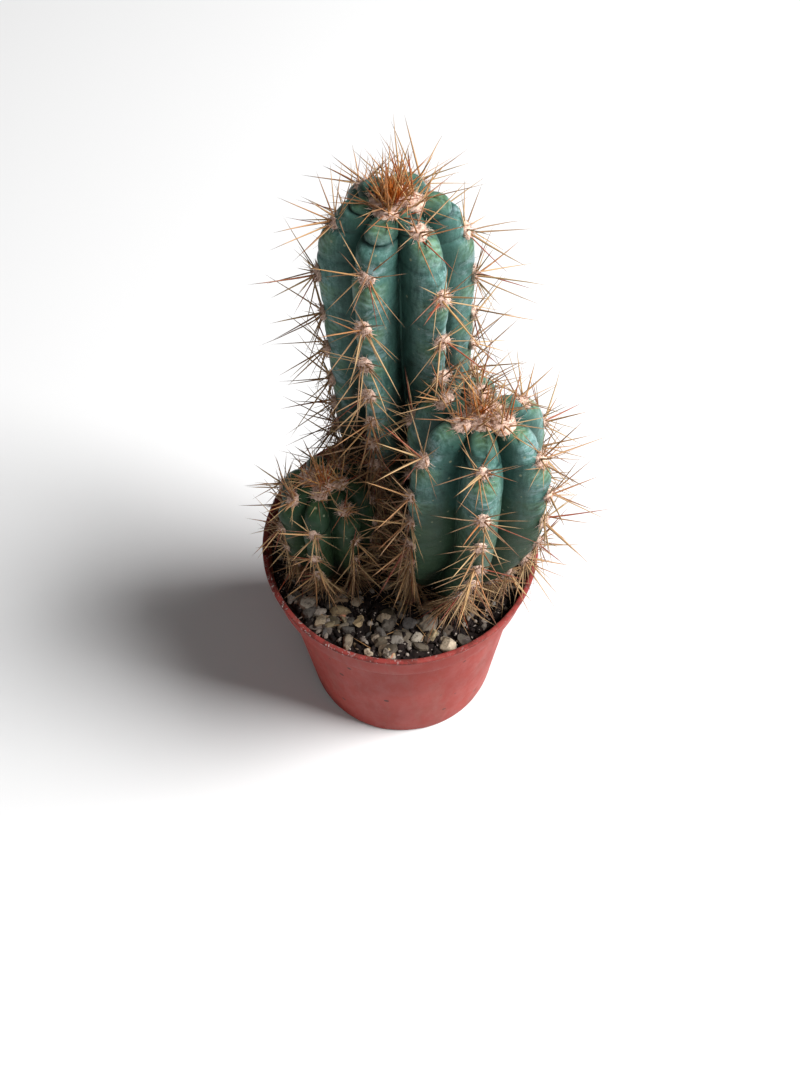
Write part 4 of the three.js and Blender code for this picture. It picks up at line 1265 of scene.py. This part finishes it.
def make_grit(material):
    """Small loose gravel, most of it at the front and left, where the photo shows it."""
    rng = np.random.default_rng(62)
    x, y = open_places(rng, wanted=1500, reach=47.0)
    front = np.clip((-y - 6) / 26, 0, 1) * np.clip((28 - x) / 30, 0, 1)
    kept = rng.random(len(x)) < 0.26 * front + 0.03
    x, y = x[kept], y[kept]
    sizes = rng.uniform(0.8, 1.5, len(x)) ** 2
    points, faces, each = scattered(rng, x, y, sizes, sink=0.3, columns=10, rows=6)
    tones = np.array(STONE_TONES)[rng.integers(0, len(STONE_TONES), len(x))]
    tones = tones * rng.uniform(0.12, 0.9, (len(x), 1))
    tone = opaque(np.repeat(tones, each, 0))
    grit = make_piece("loose_grit", points, faces, material, "gravel", tone=tone)
    grit.data.set_sharp_from_angle(angle=radians(28))


def make_slivers(material):
    """Pale dry slivers of bark that lie flat on the soil at its left edge."""
    rng = np.random.default_rng(64)
    angle = rng.uniform(-82, -38, 46)
    x, y, _ = around(angle, rng.uniform(36, 46, len(angle)), 0.0).T
    sizes = rng.uniform(0.9, 2.0, len(x))
    flat = (1.7, 0.5, 0.3)
    points, faces, each = scattered(rng, x, y, sizes, sink=0.25, columns=8, rows=5, form=flat)
    tint = np.repeat(rng.uniform(0.3, 1.0, len(x)), each)
    make_piece("bark_slivers", points, faces, material, "potting_soil", tint=tint)


FALLEN_REACH = 46.5


def make_fallen_spines(material):
    """Old spines shed on the soil, most of them at the front. Each lies on it from end to end."""
    rng = np.random.default_rng(63)
    x, y = open_places(rng, wanted=420, reach=45.0)
    near = np.exp(-(((x + 8) / 20) ** 2) - (((y + 22) / 11) ** 2))
    kept = rng.random(len(x)) < 0.15 + 0.85 * near
    x, y = x[kept], y[kept]
    count = len(x)
    angle = rng.uniform(0, 360, count)
    length = rng.uniform(4, 12, count)
    end_x, end_y, _ = (np.stack((x, y, 0 * x), -1) + around(angle, length, 0.0)).T
    inside = np.hypot(end_x, end_y) < FALLEN_REACH
    starts = np.stack((x, y, soil_height(x, y) + rng.uniform(0.5, 1.6, count)), -1)
    tips = np.stack((end_x, end_y, soil_height(end_x, end_y) + rng.uniform(0.4, 1.2, count)), -1)
    shafts = tips - starts
    clear = inside & (clear_share(starts, shafts, None, margin=0.2) > CLEAR)
    bends = rng.normal(0, 0.5, (count, 3)) * (1, 1, 0.15)
    radii = rng.uniform(0.10, 0.2, count)
    points, faces, along = needles(starts[clear], shafts[clear], radii[clear], bends[clear])
    each = len(points) // clear.sum()
    tint = np.repeat(rng.uniform(0.4, 1.0, clear.sum()), each)
    age = np.repeat(rng.uniform(0.6, 1.0, clear.sum()), each)
    make_piece("fallen_spines", points, faces, material, "spines", along=along, tint=tint, age=age)


# ---- Studio ----

# The camera was fitted to the photo. Its focal length and the photo's height are in pixels, its
# sensor and place in millimetres, and its pitch below the level and its roll in degrees.
PHOTO_HEIGHT = 1067
FOCUS = 1000
SENSOR = 36
CAMERA_PLACE = (0, -201.7, 418.2)
CAMERA_PITCH = 57.8
CAMERA_ROLL = -1.23
LIT_POINT = (0, 0, 0.12)
SKY_LIGHT = 0.09
FLOOR_HALF = 3.0


def aim(direction, roll):
    """A turn that looks along a direction, with its own right side level and then rolled."""
    forward = unit(np.array(direction, float))
    right = unit(np.cross(forward, (0, 0, 1.0)))
    above = np.cross(right, forward)
    rolled = right * cos(roll) + above * sin(roll)
    over = above * cos(roll) - right * sin(roll)
    return Matrix(np.stack((rolled, over, -forward), 1).tolist())


def place_camera():
    """The camera at the photo's viewing angle, fitted to the pot's lip, collar and foot."""
    camera = bpy.data.objects.new("camera", bpy.data.cameras.new("camera"))
    pitch = radians(CAMERA_PITCH)
    camera.matrix_world = aim((0, cos(pitch), -sin(pitch)), radians(CAMERA_ROLL)).to_4x4()
    camera.location = [value * MM for value in CAMERA_PLACE]
    camera.data.sensor_width = SENSOR
    camera.data.lens = SENSOR * FOCUS / PHOTO_HEIGHT
    bpy.context.scene.collection.objects.link(camera)
    bpy.context.scene.camera = camera


def place_light(name, place, power, size):
    """A soft square white light, aimed at the middle of the plant."""
    lamp = bpy.data.lights.new(name, "AREA")
    lamp.energy = power
    lamp.size = size
    light = bpy.data.objects.new(name, lamp)
    light.matrix_world = aim(np.array(LIT_POINT) - place, 0).to_4x4()
    light.location = place
    bpy.context.scene.collection.objects.link(light)


def set_studio():
    """A plain pale floor and pale soft light: a key from the upper right and a weak fill."""
    mesh = bpy.data.meshes.new("floor")
    square = [(FLOOR_HALF * x, FLOOR_HALF * y, 0) for x, y in ((-1, -1), (1, -1), (1, 1), (-1, 1))]
    mesh.from_pydata(square, [], [(0, 1, 2, 3)])
    floor = bpy.data.objects.new("floor", mesh)
    bpy.context.scene.collection.objects.link(floor)
    paint = Recipe("pale_floor", {"Roughness": 0.9, "Base Color": (0.80, 0.80, 0.80, 1)})
    mesh.materials.append(paint.material)
    world = bpy.data.worlds.new("studio")
    world.use_nodes = True
    sky = world.node_tree.nodes["Background"]
    sky.inputs["Color"].default_value = (1, 1, 1, 1)
    sky.inputs["Strength"].default_value = SKY_LIGHT
    bpy.context.scene.world = world
    bpy.context.scene.view_settings.view_transform = "Standard"
    place_light("key", (1.6, -0.2, 1.8), power=110, size=1.2)
    place_light("fill", (0.1, -0.9, 0.9), power=1.5, size=0.9)


# ---- The object ----

place_camera()
set_studio()

blue_skin = flesh_material(
    "blue_flesh", (0.008, 0.026, 0.025), (0.054, 0.138, 0.112), (0.24, 0.43, 0.41),
    (0.37, 0.50, 0.53), (0.14, 0.25, 0.12), (0.036, 0.068, 0.036), 0.92,
)
green_skin = flesh_material(
    "green_flesh", (0.009, 0.020, 0.011), (0.028, 0.064, 0.034), (0.065, 0.115, 0.085),
    (0.09, 0.14, 0.10), (0.060, 0.115, 0.045), (0.024, 0.048, 0.020), 0.4,
)
horn = spine_material()
felt = felt_material()
gravel = gravel_material()
peat = soil_material()

make_pot(pot_material())
make_soil(peat)
make_crumbs(peat)
make_stones(gravel)
make_grit(gravel)
make_slivers(peat)
make_fallen_spines(horn)
for stem in STEMS:
    measure_crest(stem)
for stem in STEMS:
    areoles = areoles_of(stem)
    make_flesh(stem, green_skin if stem.slot == "green_flesh" else blue_skin)
    make_felt(stem, areoles, felt)
    make_spines(stem, areoles, horn)
